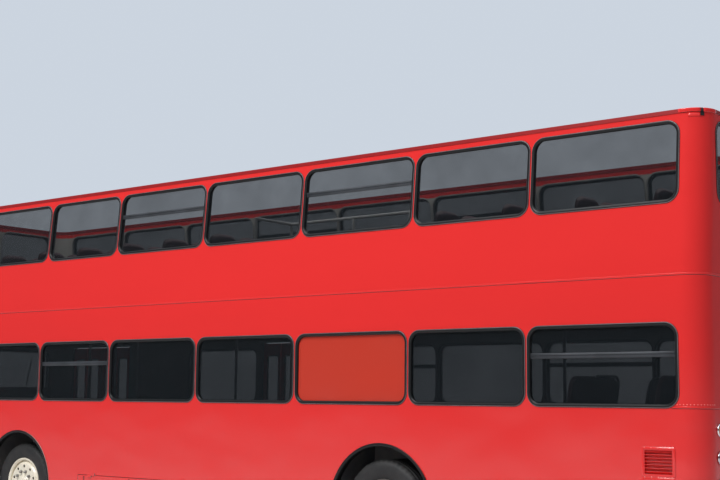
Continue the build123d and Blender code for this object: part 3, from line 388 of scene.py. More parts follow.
# window rings: path on the wall's outer face, direction out of the opening, and out of the wall
window_rings = []
for side, bay, middle, wide, sill, head in side_windows:
    flat, out = ring_points(wide, head - sill, window_r)
    x, z = (flat + (middle, (sill + head) / 2)).T
    slope = np.gradient(lean(np.linspace(sill, head, 3)))[1] / ((head - sill) / 2)
    path = np.stack([x, side * (half_width - lean(z)), z], -1)
    window_rings.append((path, np.stack([out[:, 0], -side * out[:, 1] * slope, out[:, 1]], -1), (0, side, 0)))
for end, middle, wide, sill, head in end_windows:
    flat, out = ring_points(wide, head - sill, min(window_r, (head - sill) / 5))
    y, z = (flat + (middle, (sill + head) / 2)).T
    slope = (front_x(head) - front_x(sill)) / (head - sill) if end > 0 else 0.0
    path = np.stack([front_x(z) if end > 0 else np.full(len(z), body_rear_x), y, z], -1)
    window_rings.append((path, np.stack([slope * out[:, 1], out[:, 0], out[:, 1]], -1), (end, 0, 0)))
rubber_profile = [
    (-0.022, -0.0176), (-0.0225, -0.008), (-0.019, 0.001), (-0.012, 0.0062), (-0.004, 0.0076),
    (0.004, 0.0072), (0.010, 0.0052), (0.0125, 0.0022), (0.0125, 0.0004), (-0.0004, 0.0004),
    (-0.0004, -0.0176),
]
key_profile = [(0.0045, 0.0062), (0.0052, 0.0079), (0.0100, 0.0064), (0.0106, 0.0038)]
trim_profile = [
    (-0.0030, -0.028), (-0.0030, -0.0615), (0.0010, -0.0640), (0.0150, -0.0630), (0.0150, -0.0590),
    (0.0010, -0.0590), (0.0010, -0.028),
]
rubber_black = (0.006, 0.006, 0.0065)
window_rubber, shader, tree, place = textured("window_rubber", rubber_black, 0.42, Specular_IOR_Level=0.32)
feed(shader, Roughness=ranged(tree, noise(tree, place, 90.0, 3.0), 0.35, 0.7, 0.3, 0.5))
piece("window_rubbers", [carried(*ring, rubber_profile) for ring in window_rings], window_rubber)

# Top-hung vents: an extruded aluminium section, with a narrow lip along its face, runs across the
# pane where its upper part tilts in. The lining trims and key strips of all panes follow.
ALONG, ASIDE, UP = (1, 0, 0), (0, 1, 0), (0, 0, 1)


def grained(name, colour, rough, scale=40.0, spread=0.12, bump=0.2, second=None, **sockets):
    """A material with fine grain: noise of a scale that spreads its roughness and lifts its surface
    by bump, and coarser noise that mixes in a second colour, or else its own colour times 0.55."""
    made, shader, tree, place = textured(name, colour, rough, **sockets)
    grain = noise(tree, place, scale, 5.0, 0.6)
    tone = ranged(tree, noise(tree, place, scale / 14, 3.0), 0.35, 0.7)
    feed(
        shader,
        Base_Color=blended(tree, tone, colour, second or tuple(c * 0.55 for c in colour)),
        Roughness=ranged(tree, grain, 0.3, 0.7, rough - spread, rough + spread),
        Normal=lifted(tree, grain, 0.001, bump),
    )
    return made


def slab(centre, across, up, wide, high, deep, radius, edge=0.003):
    """A plate with rounded corners and softened rims: rounded rectangles stacked through its
    depth, the first and last drawn in by edge and closed to their middle."""
    across, up, centre = (np.asarray(v, float) for v in (across, up, centre))
    through = np.cross(across, up)
    layers = []
    for depth, shrink, share in (
        (-deep / 2, 0, 0.0), (-deep / 2, edge, 1), (-deep / 2 + edge, 0, 1),
        (deep / 2 - edge, 0, 1), (deep / 2, edge, 1), (deep / 2, 0, 0.0),
    ):
        flat, _ = ring_points(wide - 2 * shrink, high - 2 * shrink, max(radius - shrink, 0.0005), 5)
        flat = flat * share
        layers.append(centre + flat[:, :1] * across + flat[:, 1:] * up + depth * through)
    points = np.stack(layers)
    return points.reshape(-1, 3), lattice(*points.shape[:2])


pane_in, vent_share = 0.018, 0.37
upper_vents, left_vents, right_vents = (2, 4), (0, 5), (1, 3)
bar_parts = []
for side, bay, middle, wide, sill, head in side_windows:
    vents = upper_vents if sill == upper_sill else (left_vents if side > 0 else right_vents)
    if bay not in vents:
        continue
    z = head - vent_share * (head - sill)
    y = side * (half_width - float(lean(z)) - pane_in + 0.006)
    bar_parts.append(slab((middle, y, z), ALONG, UP, wide - 0.036, 0.048, 0.013, 0.003))
    lip_at = (middle, y + side * 0.0085, z + 0.008)
    bar_parts.append(slab(lip_at, ALONG, UP, wide - 0.05, 0.009, 0.006, 0.002))
vent_grey = grained("vent_bar_aluminium", (0.050, 0.054, 0.062), 0.5, 60, Metallic=0.3)
piece("vent_bars", bar_parts, vent_grey)
trim_grey = grained("lining_trim_grey", (0.20, 0.20, 0.19), 0.5, 70, 0.12, 0.1)
# key strips: a grey paler than the rubber, partly painted highlight for the light line round each ring
key_strip_highlight_grey = grained("key_strip_painted_highlight", (0.17, 0.135, 0.14), 0.3, 90, 0.12, 0.1)
piece("lining_trims", [carried(*ring, trim_profile) for ring in window_rings], trim_grey)
piece("rubber_key_strips", [carried(*ring, key_profile) for ring in window_rings], key_strip_highlight_grey)

# Seams where the sheet panels overlap: the one at the upper floor runs right round the bus, and a
# short one below the rear windows runs round the rear end. Each shows a lap, and under it a dark
# strip of painted shadow where the lap's shadow falls.
rear_corner, front_corner = 0.2, 0.26


def plan_points(z):
    """The body's outline in plan at height z: points and outward directions."""
    high_x, side_y = float(front_x(z)), half_width - float(lean(z))
    turn = np.linspace(0, math.pi / 2, 11)
    points, out = [], []
    for k, (x, y, r) in enumerate((
        (high_x, side_y, front_corner), (body_rear_x, side_y, rear_corner),
        (body_rear_x, -side_y, rear_corner), (high_x, -side_y, front_corner),
    )):
        ray = np.stack([np.cos(turn + k * math.pi / 2), np.sin(turn + k * math.pi / 2)], -1)
        middle = np.array((x, y)) - r * np.sign((x, y))
        points.append(middle + ray * r)
        out.append(ray)
    points, out = np.concatenate(points), np.concatenate(out)
    return np.column_stack([points, np.full(len(points), z)]), np.column_stack([out, np.zeros(len(out))])


deck_seam_z, tail_seam_z, tail_seam_ahead = 2.552, 1.476, 0.085
lap = [
    (-0.0005, -0.004), (0.0016, -0.004), (0.0022, -0.001), (0.0022, 0.010), (0.0012, 0.012),
    (-0.0005, 0.012),
]
shadow = [(-0.0005, -0.0085), (0.0010, -0.0085), (0.0010, -0.004), (-0.0005, -0.004)]
deck_path, deck_out = plan_points(deck_seam_z)
tail_path, tail_out = plan_points(tail_seam_z)
behind = tail_path[:, 0] < body_rear_x + rear_corner + 0.005
tail_path, tail_out = tail_path[behind], tail_out[behind]
ahead = np.array((tail_seam_ahead, 0, 0))
tail_path = np.concatenate([tail_path[:1] + ahead, tail_path, tail_path[-1:] + ahead])
tail_out = np.concatenate([tail_out[:1], tail_out, tail_out[-1:]])
# the dark red under each lap is painted shadow, also used for painted shade in the flap's grooves
seam_painted_shade = grained("seam_shadow", (0.16, 0.008, 0.01), 0.6, 30)
for name, profile, material in (("panel_laps", lap, body_paint), ("panel_lap_shadows", shadow, seam_painted_shade)):
    seams = [carried(deck_path, deck_out, UP, profile)]
    seams.append(carried(tail_path, tail_out, UP, profile, closed=False))
    piece(name, seams, material)

# Flanged air louvres behind the rear axle: a pressed frame riveted over each opening, with a
# painted baffle plate behind the blades. The row of rivets above the rear seam is set here too.
def upright_ring(centre, wide, high, radius, steps=8):
    """A rounded rectangle that stands along the bus: its points and outward directions."""
    flat, out = ring_points(wide, high, radius, steps)
    path, out = (np.column_stack([v[:, 0], np.zeros(len(v)), v[:, 1]]) for v in (flat, out))
    return path + centre, out


def rivet_heads(points, out, radius=0.0055):
    """Domed rivet heads: each is rings of eight points that rise along out to a closed top."""
    points, out = np.asarray(points, float), np.asarray(out, float)
    side = np.cross(out, (0, 0, 1.0))
    side /= np.linalg.norm(side, axis=1)[:, None]
    other = np.cross(out, side)
    angle = np.arange(8) * math.pi / 4
    ray = np.cos(angle)[:, None] * side[:, None] + np.sin(angle)[:, None] * other[:, None]
    rows = []
    for share, rise in ((0, -0.1), (1, -0.1), (1, 0.12), (0.72, 0.42), (0, 0.55)):
        rows.append(points[:, None] + radius * (share * ray + rise * out[:, None]))
    grid = np.stack(rows, 1)
    first = np.arange(len(points))[:, None, None] * len(rows) * len(angle)
    return grid.reshape(-1, 3), (lattice(len(rows), len(angle)) + first).reshape(-1, 4)


front_axle_x, rear_axle_x = 3.150, -2.450
louvre_x, louvre_wide, louvre_high = rear_axle_x - 2.8515, 0.267, 0.213
louvre_lows = (0.932, 0.690)
flange = [(-0.004, 0.0), (-0.004, 0.0045), (0.0, 0.005), (0.018, 0.0028), (0.0195, 0.0), (0.0, 0.0)]
flange_parts, rivet_points, rivet_out = [], [], []
for side in (1, -1):
    for low in louvre_lows:
        z = low + louvre_high / 2
        path, out = upright_ring((louvre_x, side * half_width, z), louvre_wide, louvre_high, 0.004, 2)
        flange_parts.append(carried(path, out, (0, side, 0), flange))
        for dx in np.linspace(-0.12, 0.12, 5):
            for dz in (-louvre_high / 2 - 0.011, louvre_high / 2 + 0.011):
                rivet_points.append((louvre_x + dx, side * (half_width + 0.003), z + dz))
                rivet_out.append((0, side, 0))
        baffle_at = (louvre_x, side * (half_width - 0.0275), z)
        flange_parts.append(slab(baffle_at, ALONG, UP, 0.262, 0.208, 0.003, 0.004, 0.0008))
piece("louvre_flanges", flange_parts, body_paint)
finish_nodes(body_paint, "louvres")
tail_rivet_z = 1.502
for side in (1, -1):
    for x in np.arange(-5.50, -5.44, 0.026):
        rivet_points.append((x, side * half_width, tail_rivet_z))
        rivet_out.append((0, side, 0))
for a in np.linspace(0.1, 1.5, 11):
    for side in (1, -1):
        ray = np.array((-math.sin(a), side * math.cos(a), 0))
        middle = np.array((body_rear_x + rear_corner, side * (half_width - rear_corner), tail_rivet_z))
        rivet_points.append(middle + rear_corner * ray)
        rivet_out.append(ray)
# the rivet heads are paler than the body's red: painted highlight for the light their domes catch
rivet_painted_highlight = grained("rivet_painted_highlight", (0.86, 0.20, 0.17), 0.3, 200, 0.08, 0.1, (0.75, 0.10, 0.09))
piece("rivets", [rivet_heads(rivet_points, rivet_out)], rivet_painted_highlight)

# Wheel arches are edged with a black rubber section that is pushed over the wall's cut edge, wraps
# the lip outside and lines the cut through the wall's thickness.
arch_radius, arch_height, wall_thick = 0.600, 0.490, 0.060
edging = [
    (-0.003, -wall_thick), (-0.004, 0.0085), (0.002, 0.0125), (0.020, 0.0120), (0.0245, 0.0090),
    (0.0235, 0.0072), (0.0005, 0.0072), (0.0005, -wall_thick),
]
turn = np.linspace(math.radians(-14), math.radians(194), 61)
straight = np.sin(turn) < 0
upright = np.sign(np.cos(turn))
across = np.where(straight, upright, np.cos(turn))
arch_out = np.stack([across, np.zeros(len(turn)), np.where(straight, 0, np.sin(turn))], -1)
arch_parts = []
for side in (1, -1):
    for axle_x in (front_axle_x, rear_axle_x):
        path = np.array((axle_x, side * half_width, arch_height)) + arch_radius * np.stack(
            [across, np.zeros(len(turn)), np.sin(turn)], -1
        )
        arch_parts.append(carried(path, arch_out, (0, side, 0), edging, closed=False))
piece("arch_edging", arch_parts, window_rubber)


# Tyres: radial road tyres with four grooves round them and cross cuts in the shoulders. The
# rubber is dark grey with paler patches of dust.
def turned(centre, axis, profile, steps=64, shape=None):
    """A profile of (along, radius) points turned about an axis: each point runs round a circle in
    steps, and shape(angle, along, radius) may change the radius on the way."""
    axis = np.asarray(axis, float) / np.linalg.norm(axis)
    side = np.cross(axis, UP if abs(axis[2]) < 0.9 else ALONG)
    side /= np.linalg.norm(side)
    other = np.cross(axis, side)
    along, radius = np.asarray(profile, float).T
    angle = np.arange(steps) * 2 * math.pi / steps
    grid_r = np.broadcast_to(radius, (steps, len(radius)))
    if shape:
        grid_r = shape(angle[:, None], along[None], grid_r)
    ray = np.cos(angle)[:, None, None] * side + np.sin(angle)[:, None, None] * other
    points = np.asarray(centre, float) + grid_r[..., None] * ray + along[None, :, None] * axis
    return points.reshape(-1, 3), lattice(steps, len(radius), ring=True)


def tread_cuts(angle, along, radius):
    """Cross cuts in the two shoulders: 48 a turn, each 9 mm deep over a third of its pitch."""
    slot = np.mod(angle * 48 / (2 * math.pi), 1) < 0.34
    shoulder = (np.abs(along) > 0.084) & (np.abs(along) < 0.126) & (radius > 0.44)
    return np.where(slot & shoulder, radius - 0.009, radius)


tyre_radius = 0.480
tyre_profile = np.array([
    (0.104, 0.2805), (0.106, 0.296), (0.112, 0.302), (0.124, 0.322), (0.1335, 0.350), (0.1378, 0.380),
    (0.1370, 0.405), (0.1335, 0.426), (0.1290, 0.443), (0.1235, 0.4555), (0.115, 0.4640), (0.105, 0.4705),
    (0.098, 0.4745), (0.083, 0.4772), (0.082, 0.4640), (0.073, 0.4640), (0.072, 0.4786), (0.034, 0.4798),
    (0.033, 0.4660), (0.024, 0.4660), (0.023, 0.4800),
])
tyre_inside = [
    (-0.070, 0.2805), (-0.118, 0.380), (-0.088, 0.452), (0.088, 0.452), (0.118, 0.380), (0.070, 0.2805),
]
whole_profile = np.concatenate([tyre_profile, tyre_profile[::-1] * (-1, 1), tyre_inside])
tyre_rubber = grained("tyre_rubber", (0.012, 0.012, 0.0125), 0.66, 120, 0.08, 0.35, (0.024, 0.022, 0.021))
front_wheel_y, rear_outer_y, rear_inner_y = 1.035, 1.075, 0.755
# wheel sets: end, side, side's name, body, axle, planes of the tyres
wheel_sets = []
for end, axle_x, planes in (
    ("front", front_axle_x, [front_wheel_y]),
    ("rear", rear_axle_x, [rear_outer_y, rear_inner_y]),
):
    for side, side_name in ((1, "left"), (-1, "right")):
        wheel_sets.append((end, side, side_name, f"wheel_{end}_{side_name}", axle_x, planes))
for end, side, side_name, body, axle_x, planes in wheel_sets:
    at = [(axle_x, side * y, tyre_radius) for y in planes]
    pieces = [turned(middle, ASIDE, whole_profile, 144, tread_cuts) for middle in at]
    made = piece(f"road_tyre_{end}_{side_name}", pieces, tyre_rubber, body)
    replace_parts(made, f"tyre_{end}_{side_name}")

# Wheel discs are pressed steel, cream enamel in front and black behind, each on ten nuts with a
# hub cover in the middle.
cream_enamel = grained(
    "cream_wheel_enamel", (0.86, 0.80, 0.66), 0.36, 22, 0.14, 0.1, (0.62, 0.54, 0.41), Coat_Weight=0.25
)
dark_enamel = grained("dark_wheel_enamel", (0.075, 0.065, 0.06), 0.5, 22, 0.15, 0.15, (0.16, 0.13, 0.11))
nut_steel = grained("wheel_nut_steel", (0.33, 0.31, 0.28), 0.42, 80, 0.12, 0.15, Metallic=0.8)
nut_profile = [
    (-0.002, 0.0), (-0.002, 0.019), (0.004, 0.019), (0.006, 0.0165), (0.022, 0.0165), (0.025, 0.013),
    (0.025, 0.008), (0.036, 0.008), (0.038, 0.0),
]
front_cover = [
    (0.124, 0.0), (0.124, 0.086), (0.130, 0.083), (0.139, 0.074), (0.144, 0.058), (0.146, 0.034),
    (0.147, 0.0),
]
rear_cover = [
    (0.010, 0.0), (0.010, 0.089), (0.019, 0.086), (0.024, 0.070), (0.024, 0.052), (0.034, 0.048),
    (0.036, 0.0),
]
# discs: enamel, face of the nuts, their circle, plane of the cover, its profile and its name
discs = {
    "front": (cream_enamel, front_wheel_y + 0.112, 0.138, front_wheel_y, front_cover, "hub_cover"),
    "rear": (dark_enamel, 0.915 + 0.025, 0.145, rear_outer_y, rear_cover, "hub_cover_rear"),
}
for end, side, side_name, body, axle_x, planes in wheel_sets:
    enamel, face_y, circle, cover_y, cover, cover_name = discs[end]
    finish_nodes(enamel, f"rim_{end}_{side_name}")
    out = (0, side, 0)
    nuts = []
    for a in 2 * math.pi * np.arange(10) / 10:
        at = (axle_x + circle * math.cos(a), side * face_y, tyre_radius + circle * math.sin(a))
        nuts.append(turned(at, out, nut_profile, 12))
    piece(f"wheel_nuts_{end}_{side_name}", nuts, nut_steel, body)
    hub = turned((axle_x, side * cover_y, tyre_radius), out, cover, 48)
    piece(f"{cover_name}_{side_name}", [hub], enamel, body)


# Lamps: each is a chromed bezel, pressed from sheet and screwed to the wall, round a domed plastic
# lens with fine ribs.
def bands(tree, place, axis, scale, distortion=0.0):
    """Bands across an axis, from 0 to 1."""
    links = {"Vector": place, "Scale": scale, "Distortion": distortion}
    return wire(tree, "ShaderNodeTexWave", {"bands_direction": axis}, **links).outputs["Fac"]


def lens_material(name, colour, glow):
    """Ribbed lens plastic: fine waves both ways in its normal."""
    made, shader, tree, place = textured(name, colour, 0.12, Coat_Weight=0.6, Transmission_Weight=glow)
    both = calc(tree, "ADD", bands(tree, place, "Z", 38.0), bands(tree, place, "Y", 38.0))
    feed(shader, Normal=lifted(tree, both, 0.002, 0.5), Roughness=ranged(tree, both, 0.0, 2.0, 0.08, 0.2))
    return made


chrome = grained("bezel_chrome", (0.82, 0.82, 0.83), 0.08, 50, 0.05, 0.05, (0.55, 0.55, 0.56), Metallic=1.0)
lens_red = lens_material("lens_red", (0.42, 0.012, 0.01), 0.0)
lens_amber = lens_material("lens_amber", (0.75, 0.22, 0.015), 0.0)
lens_clear = lens_material("lens_clear", (0.72, 0.74, 0.74), 0.35)
# lamps: end, distance from the middle, height, radius, lens
lamp_table = [
    (1, 0.700, 0.720, 0.082, lens_clear), (1, 0.880, 0.720, 0.082, lens_amber),
    (-1, 0.985, 0.858, 0.056, lens_red), (-1, 0.985, 1.078, 0.056, lens_red),
    (-1, 0.985, 1.298, 0.056, lens_amber),
]
bezels = {1: [], -1: []}
lenses = {lens_red: [], lens_amber: [], lens_clear: []}
for end, y, z, radius, lens in lamp_table:
    for side in (1, -1):
        at = (body_front_x if end > 0 else body_rear_x, side * y, z)
        inner_r = radius - 0.009
        rim = [
            (0.0005, inner_r), (0.0005, radius), (0.010, radius), (0.016, radius - 0.001),
            (0.0195, radius - 0.004), (0.0195, radius - 0.006), (0.016, inner_r + 0.001), (0.014, inner_r),
        ]
        dome_r = inner_r - 0.0003
        glass = [
            (0.001, 0.0), (0.001, dome_r), (0.015, dome_r), (0.0205, dome_r * 0.86),
            (0.0248, dome_r * 0.62), (0.0278, dome_r * 0.3), (0.0288, 0.0),
        ]
        bezels[end].append(turned(at, (end, 0, 0), rim, 48))
        lenses[lens].append(turned(at, (end, 0, 0), glass, 48))
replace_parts(piece("front_lamp_bezels", bezels[1], chrome), "front_lamps")
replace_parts(piece("rear_lamp_bezels", bezels[-1], chrome), "tail_lamps")
for lens, name in ((lens_red, "red_lenses"), (lens_amber, "amber_lenses"), (lens_clear, "headlamp_lenses")):
    piece(name, lenses[lens], lens)

# Seats: moulded shells on steel pedestals, one a place upstairs and one a pair downstairs, where a
# grab tube runs round the aisle corner. They hold cushions and back pads in woven cloth. All places
# are alike, so one pad of each kind is blown up in a cloth simulation and repeated.
lower_floor_z, platform_z, upper_floor_z = 0.64, 0.94, 2.52
stair_foot, stair_head = -0.5, -2.34
place_shift, lower_pair_y, upper_pair_y = 0.215, 0.735, 0.655
both_sides, left_only, right_only = (1, -1), (1,), (-1,)
pair = (-place_shift, place_shift)
seat_places = []
for x, z, sides in (
    (-5.330, platform_z, both_sides), (-4.500, platform_z, both_sides),
    (-3.640, lower_floor_z, both_sides), (-1.790, lower_floor_z, right_only),
    (-1.040, lower_floor_z, right_only), (-0.380, lower_floor_z, left_only),
    (0.370, lower_floor_z, left_only), (1.120, lower_floor_z, left_only),
    (1.870, lower_floor_z, both_sides),
):
    seat_places += [(x, side * lower_pair_y + shift, z) for side in sides for shift in pair]
lower_count = len(seat_places)
upper_rows, upper_first_x, upper_front_gap = 13, -5.290, 1.74
upper_pitch = (body_front_x - upper_front_gap - upper_first_x) / (upper_rows - 1)
for k in range(upper_rows):
    x = upper_first_x + k * upper_pitch
    sides = right_only if stair_head - 0.6 < x < stair_foot - 0.15 + 0.08 else both_sides
    for side in sides:
        seat_places += [(x, side * upper_pair_y + shift, upper_floor_z) for shift in pair]


def pipe(route, radius, sides=10):
    """A round bar along a route of points, its ends closed: circles square to the route's course."""
    route = np.asarray(route, float)
    course = np.gradient(route, axis=0)
    course /= np.linalg.norm(course, axis=1)[:, None]
    guide = (0, 0, 1) if abs(course[:, 2]).max() < 0.95 else (0.3, 0.95, 0.05)
    side = np.cross(course, guide)
    side /= np.linalg.norm(side, axis=1)[:, None]
    other = np.cross(course, side)
    angle = np.arange(sides) * 2 * math.pi / sides
    ring = np.cos(angle)[:, None] * side[:, None] + np.sin(angle)[:, None] * other[:, None]
    points = route[:, None] + radius * ring
    first, last = np.repeat(route[:1, None], sides, 1), np.repeat(route[-1:, None], sides, 1)
    points = np.concatenate([first, points, last])
    return points.reshape(-1, 3), lattice(len(points), sides)


def pillow(wide, long, thick, crown):
    """A closed crowned pad: two faces of one grid over a rounded square, whose height falls from
    crown in the middle to nothing at the edge as (1 - u^3.6)(1 - v^3.6), to a power of 0.4."""
    n, power = 15, 3.6
    u = np.sin(np.linspace(-math.pi / 2, math.pi / 2, n))
    a, b = np.meshgrid(u, u, indexing="ij")
    fall = np.clip((1 - np.abs(a) ** power) * (1 - np.abs(b) ** power), 0, 1) ** 0.4
    draw_a, draw_b = (0.035 * (1 - np.abs(v) ** 2)[..., None] for v in (a, b))
    pull = 1 - draw_a * (0, 1) - draw_b * (1, 0)
    corner = 1 - 0.10 * (np.abs(a) * np.abs(b)) ** 6
    flat = np.stack([a * wide / 2, b * long / 2], -1) * corner[..., None] * pull
    top = np.dstack([flat, thick / 2 * fall + (crown - thick / 2) * fall ** 2])
    low = np.dstack([flat, -thick / 2 * fall])
    face = lattice(n, n, turn=False)
    points = np.concatenate([top.reshape(-1, 3), low.reshape(-1, 3)])
    return points, np.concatenate([face, face[:, ::-1] + n * n])


def inflated(points, faces):
    """The pad after it is blown up as cloth: pressure 4, no gravity, 20 frames, each point moved by
    12 mm at most."""
    cap = 0.012
    blown = outward(quads("pad_template", points, faces))
    start = np.array([v.co for v in blown.data.vertices])
    cloth = blown.modifiers.new("cloth", "CLOTH")
    cloth.settings.use_pressure = True
    cloth.settings.uniform_pressure_force = 4
    cloth.settings.effector_weights.gravity = 0
    cloth.settings.quality = 5
    for step in range(1, 21):
        bpy.context.scene.frame_set(step)
    shaped = blown.evaluated_get(bpy.context.evaluated_depsgraph_get())
    moved = np.array([v.co for v in shaped.data.vertices]) - start
    length = np.linalg.norm(moved, axis=1)[:, None]
    start += moved * np.minimum(1, cap / np.maximum(length, 1e-9))
    bpy.context.scene.frame_set(1)
    order = np.array([p.vertices[:] for p in blown.data.polygons])
    bpy.data.objects.remove(blown)
    return start, order


def shell_form(half=0.205, corner=0.085, n=17):
    """The moulded shell: a curve in side view from the front edge over the seat and up the back,
    swept across, its sides turned up a little; its top edge is rounded as a superellipse."""
    back, m = 0.80, 25
    t = np.linspace(0, 1, m)
    stations = [0, 0.06, 0.16, 0.42, 0.50, 0.56, 1]
    side_x = np.interp(t, stations, [0.510, 0.516, 0.485, 0.145, 0.104, 0.090, 0.046])
    side_z = np.interp(t, stations, [0.395, 0.425, 0.447, 0.428, 0.452, 0.500, back])
    u = np.sin(np.linspace(-math.pi / 2, math.pi / 2, n))
    over = np.clip((side_z - (back - corner)) / corner, 0, 1)
    width = half - corner * (1 - np.sqrt(np.clip(1 - over**2, 0, 1))) * (t > 0.5)
    y = u[None, :] * width[:, None]
    lift = 0.010 * np.abs(u)[None, :] ** 6 * np.ones((m, 1))
    fore = np.where(t > 0.5, 1.0, 0.0)[:, None]
    x = side_x[:, None] + lift * fore
    z = side_z[:, None] + lift * (1 - fore)
    return np.stack([x, y + 0 * x, z], -1)


def thickened(grid, by):
    """A closed sheet from a grid of points: the grid, its copy moved by, and a strip round the rim."""
    m, n = grid.shape[:2]
    points = np.concatenate([grid.reshape(-1, 3), (grid + np.asarray(by)).reshape(-1, 3)])
    face = lattice(m, n, turn=False)[:, [0, 3, 2, 1]]
    index = np.arange(m * n).reshape(m, n)
    rim = np.concatenate([index[0, :], index[1:, -1], index[-1, -2::-1], index[-2:0:-1, 0]])
    after = np.roll(rim, -1)
    strip = np.stack([rim, after, after + m * n, rim + m * n], -1)
    return points, np.concatenate([face, face[:, ::-1] + m * n, strip])


cushion_points, cushion_faces = inflated(*pillow(0.385, 0.385, 0.052, 0.040))
back_points, back_faces = inflated(*pillow(0.365, 0.390, 0.040, 0.030))
cloth_red = (0.10, 0.012, 0.02)
seat_cloth, shader, tree, place = textured(
    "seat_cloth", cloth_red, 0.9, Sheen_Weight=0.35, Sheen_Roughness=0.5
)
narrow = ranged(tree, bands(tree, place, "Y", 7.0, 0.6), 0.86, 0.94)
stripes = blended(tree, narrow, cloth_red, (0.17, 0.14, 0.13))
threads = calc(tree, "ADD", bands(tree, place, "X", 260.0), bands(tree, place, "Z", 260.0))
woven = calc(tree, "ADD", threads, bands(tree, place, "Y", 55.0, 1.5))
fade = ranged(tree, noise(tree, place, 9.0, 4.0), 0.4, 0.75, 0.0, 0.35)
faded = blended(tree, fade, stripes, (0.24, 0.13, 0.12))
feed(shader, Base_Color=faded, Normal=lifted(tree, woven, 0.0006, 0.6))
shell_plastic = grained(
    "seat_shell_plastic", (0.075, 0.012, 0.018), 0.5, 90, 0.12, 0.3, (0.05, 0.01, 0.014)
)
seat_steel = grained("seat_frame_steel", (0.16, 0.16, 0.17), 0.45, 50, 0.12, 0.2)
sheet_back = (-0.030, 0, -0.030)
bench_half = 0.420
shell_points, shell_faces = thickened(shell_form(), sheet_back)
bench_points, bench_faces = thickened(shell_form(half=bench_half, corner=0.075, n=25), sheet_back)
tilt = math.atan2(0.044, 0.30)
along, across, deep = back_points[:, 1], back_points[:, 0], back_points[:, 2]
back_pad = np.column_stack([
    0.075 + 0.018 - along * math.sin(tilt) + deep * math.cos(tilt),
    across,
    0.618 + along * math.cos(tilt) * 0.82 + deep * math.sin(tilt),
])
cushion = np.column_stack([
    0.318 + cushion_points[:, 1] * 0.86, cushion_points[:, 0], 0.452 + cushion_points[:, 2],
])
seat_pads, seat_backs, seat_shells, seat_legs = ([[], []] for _ in range(4))
bench_grabs = []
for k, at in enumerate(seat_places):
    deck = int(k >= lower_count)
    seat_pads[deck].append((cushion + at, cushion_faces))
    seat_backs[deck].append((back_pad + at, back_faces))
    if deck:
        seat_shells[deck].append((shell_points + at, shell_faces))
for k in range(0, len(seat_places), 2):
    x, y, z = seat_places[k]
    deck = int(k >= lower_count)
    y += place_shift
    if not deck:
        seat_shells[deck].append((bench_points + (x, y, z), bench_faces))
        aisle = -math.copysign(1, y)
        bend = np.linspace(0, math.pi / 2, 7)
        corner_y = bench_half + 0.004 - 0.080 * (1 - np.cos(bend))
        corner_z = 0.725 + 0.080 * np.sin(bend)
        hoop_y = np.concatenate([[bench_half + 0.004] * 2, corner_y, [0.05, 0.0]])
        hoop_z = np.concatenate([[0.480, 0.600], corner_z, [0.805, 0.800]])
        hoop_x = np.interp(hoop_z, [0.480, 0.500, 0.805], [0.086, 0.078, 0.034])
        bench_grabs.append(pipe(np.column_stack([x + hoop_x, y + aisle * hoop_y, z + hoop_z]), 0.012))
    seat_legs[deck].append(slab((x + 0.26, y, z + 0.185), ALONG, UP, 0.055, 0.37, 0.68, 0.012, 0.004))
    seat_legs[deck].append(slab((x + 0.26, y, z + 0.006), ALONG, ASIDE, 0.12, 0.68, 0.012, 0.02, 0.003))
    for shift in (-0.40, 0.40):
        rail = [(x + 0.02, y + shift, z + 0.36), (x + 0.49, y + shift, z + 0.37)]
        seat_legs[deck].append(pipe(rail, 0.011))
driver_at, wider = (4.150, 0.700, lower_floor_z), (1, 1.12, 1)
seat_pads[0].append((cushion * wider + driver_at, cushion_faces))
seat_backs[0].append((back_pad * wider + driver_at, back_faces))
seat_shells[0].append((shell_points * wider + driver_at, shell_faces))
driver_leg = (4.41, 0.70, lower_floor_z + 0.185)
seat_legs[0].append(slab(driver_leg, ALONG, UP, 0.055, 0.37, 0.30, 0.012, 0.004))
grab_grey = grained("bench_grab_grey", (0.36, 0.35, 0.36), 0.35, 60, 0.12, 0.1)
piece("bench_grab_tubes", bench_grabs, grab_grey)
for deck, name in ((0, "lower"), (1, "upper")):
    shells = piece(f"{name}_seat_shells", seat_shells[deck], shell_plastic)
    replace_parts(shells, f"{name}_seats")
    piece(f"{name}_seat_frames", seat_legs[deck], seat_steel)
    for kind, parts in (("cushions", seat_pads[deck]), ("back_pads", seat_backs[deck])):
        pads = piece(f"{name}_seat_{kind}", parts, seat_cloth)

# Doors: each leaf is framed in aluminium, painted, with a tall pane in a rubber ring and a soft
# rubber nose along the edge away from the fold. The leading leaf of each half has a grab bar inside.
leaf_street, leaf_mid, leaf_pane_z = -1.233, -1.219, 1.320
door_width, post_in = 1.250, 0.019
door_places = (("mid", 0.1695), ("front", 3.990))
leaf_arm = (door_width / 2 - 0.003 - 0.014 - post_in) / 2
leaf_ring = [
    (-0.014, -0.011), (-0.013, 0.001), (-0.006, 0.003), (0.004, 0.003), (0.008, 0.0004), (0.0, 0.0004),
    (-0.0004, -0.011),
]
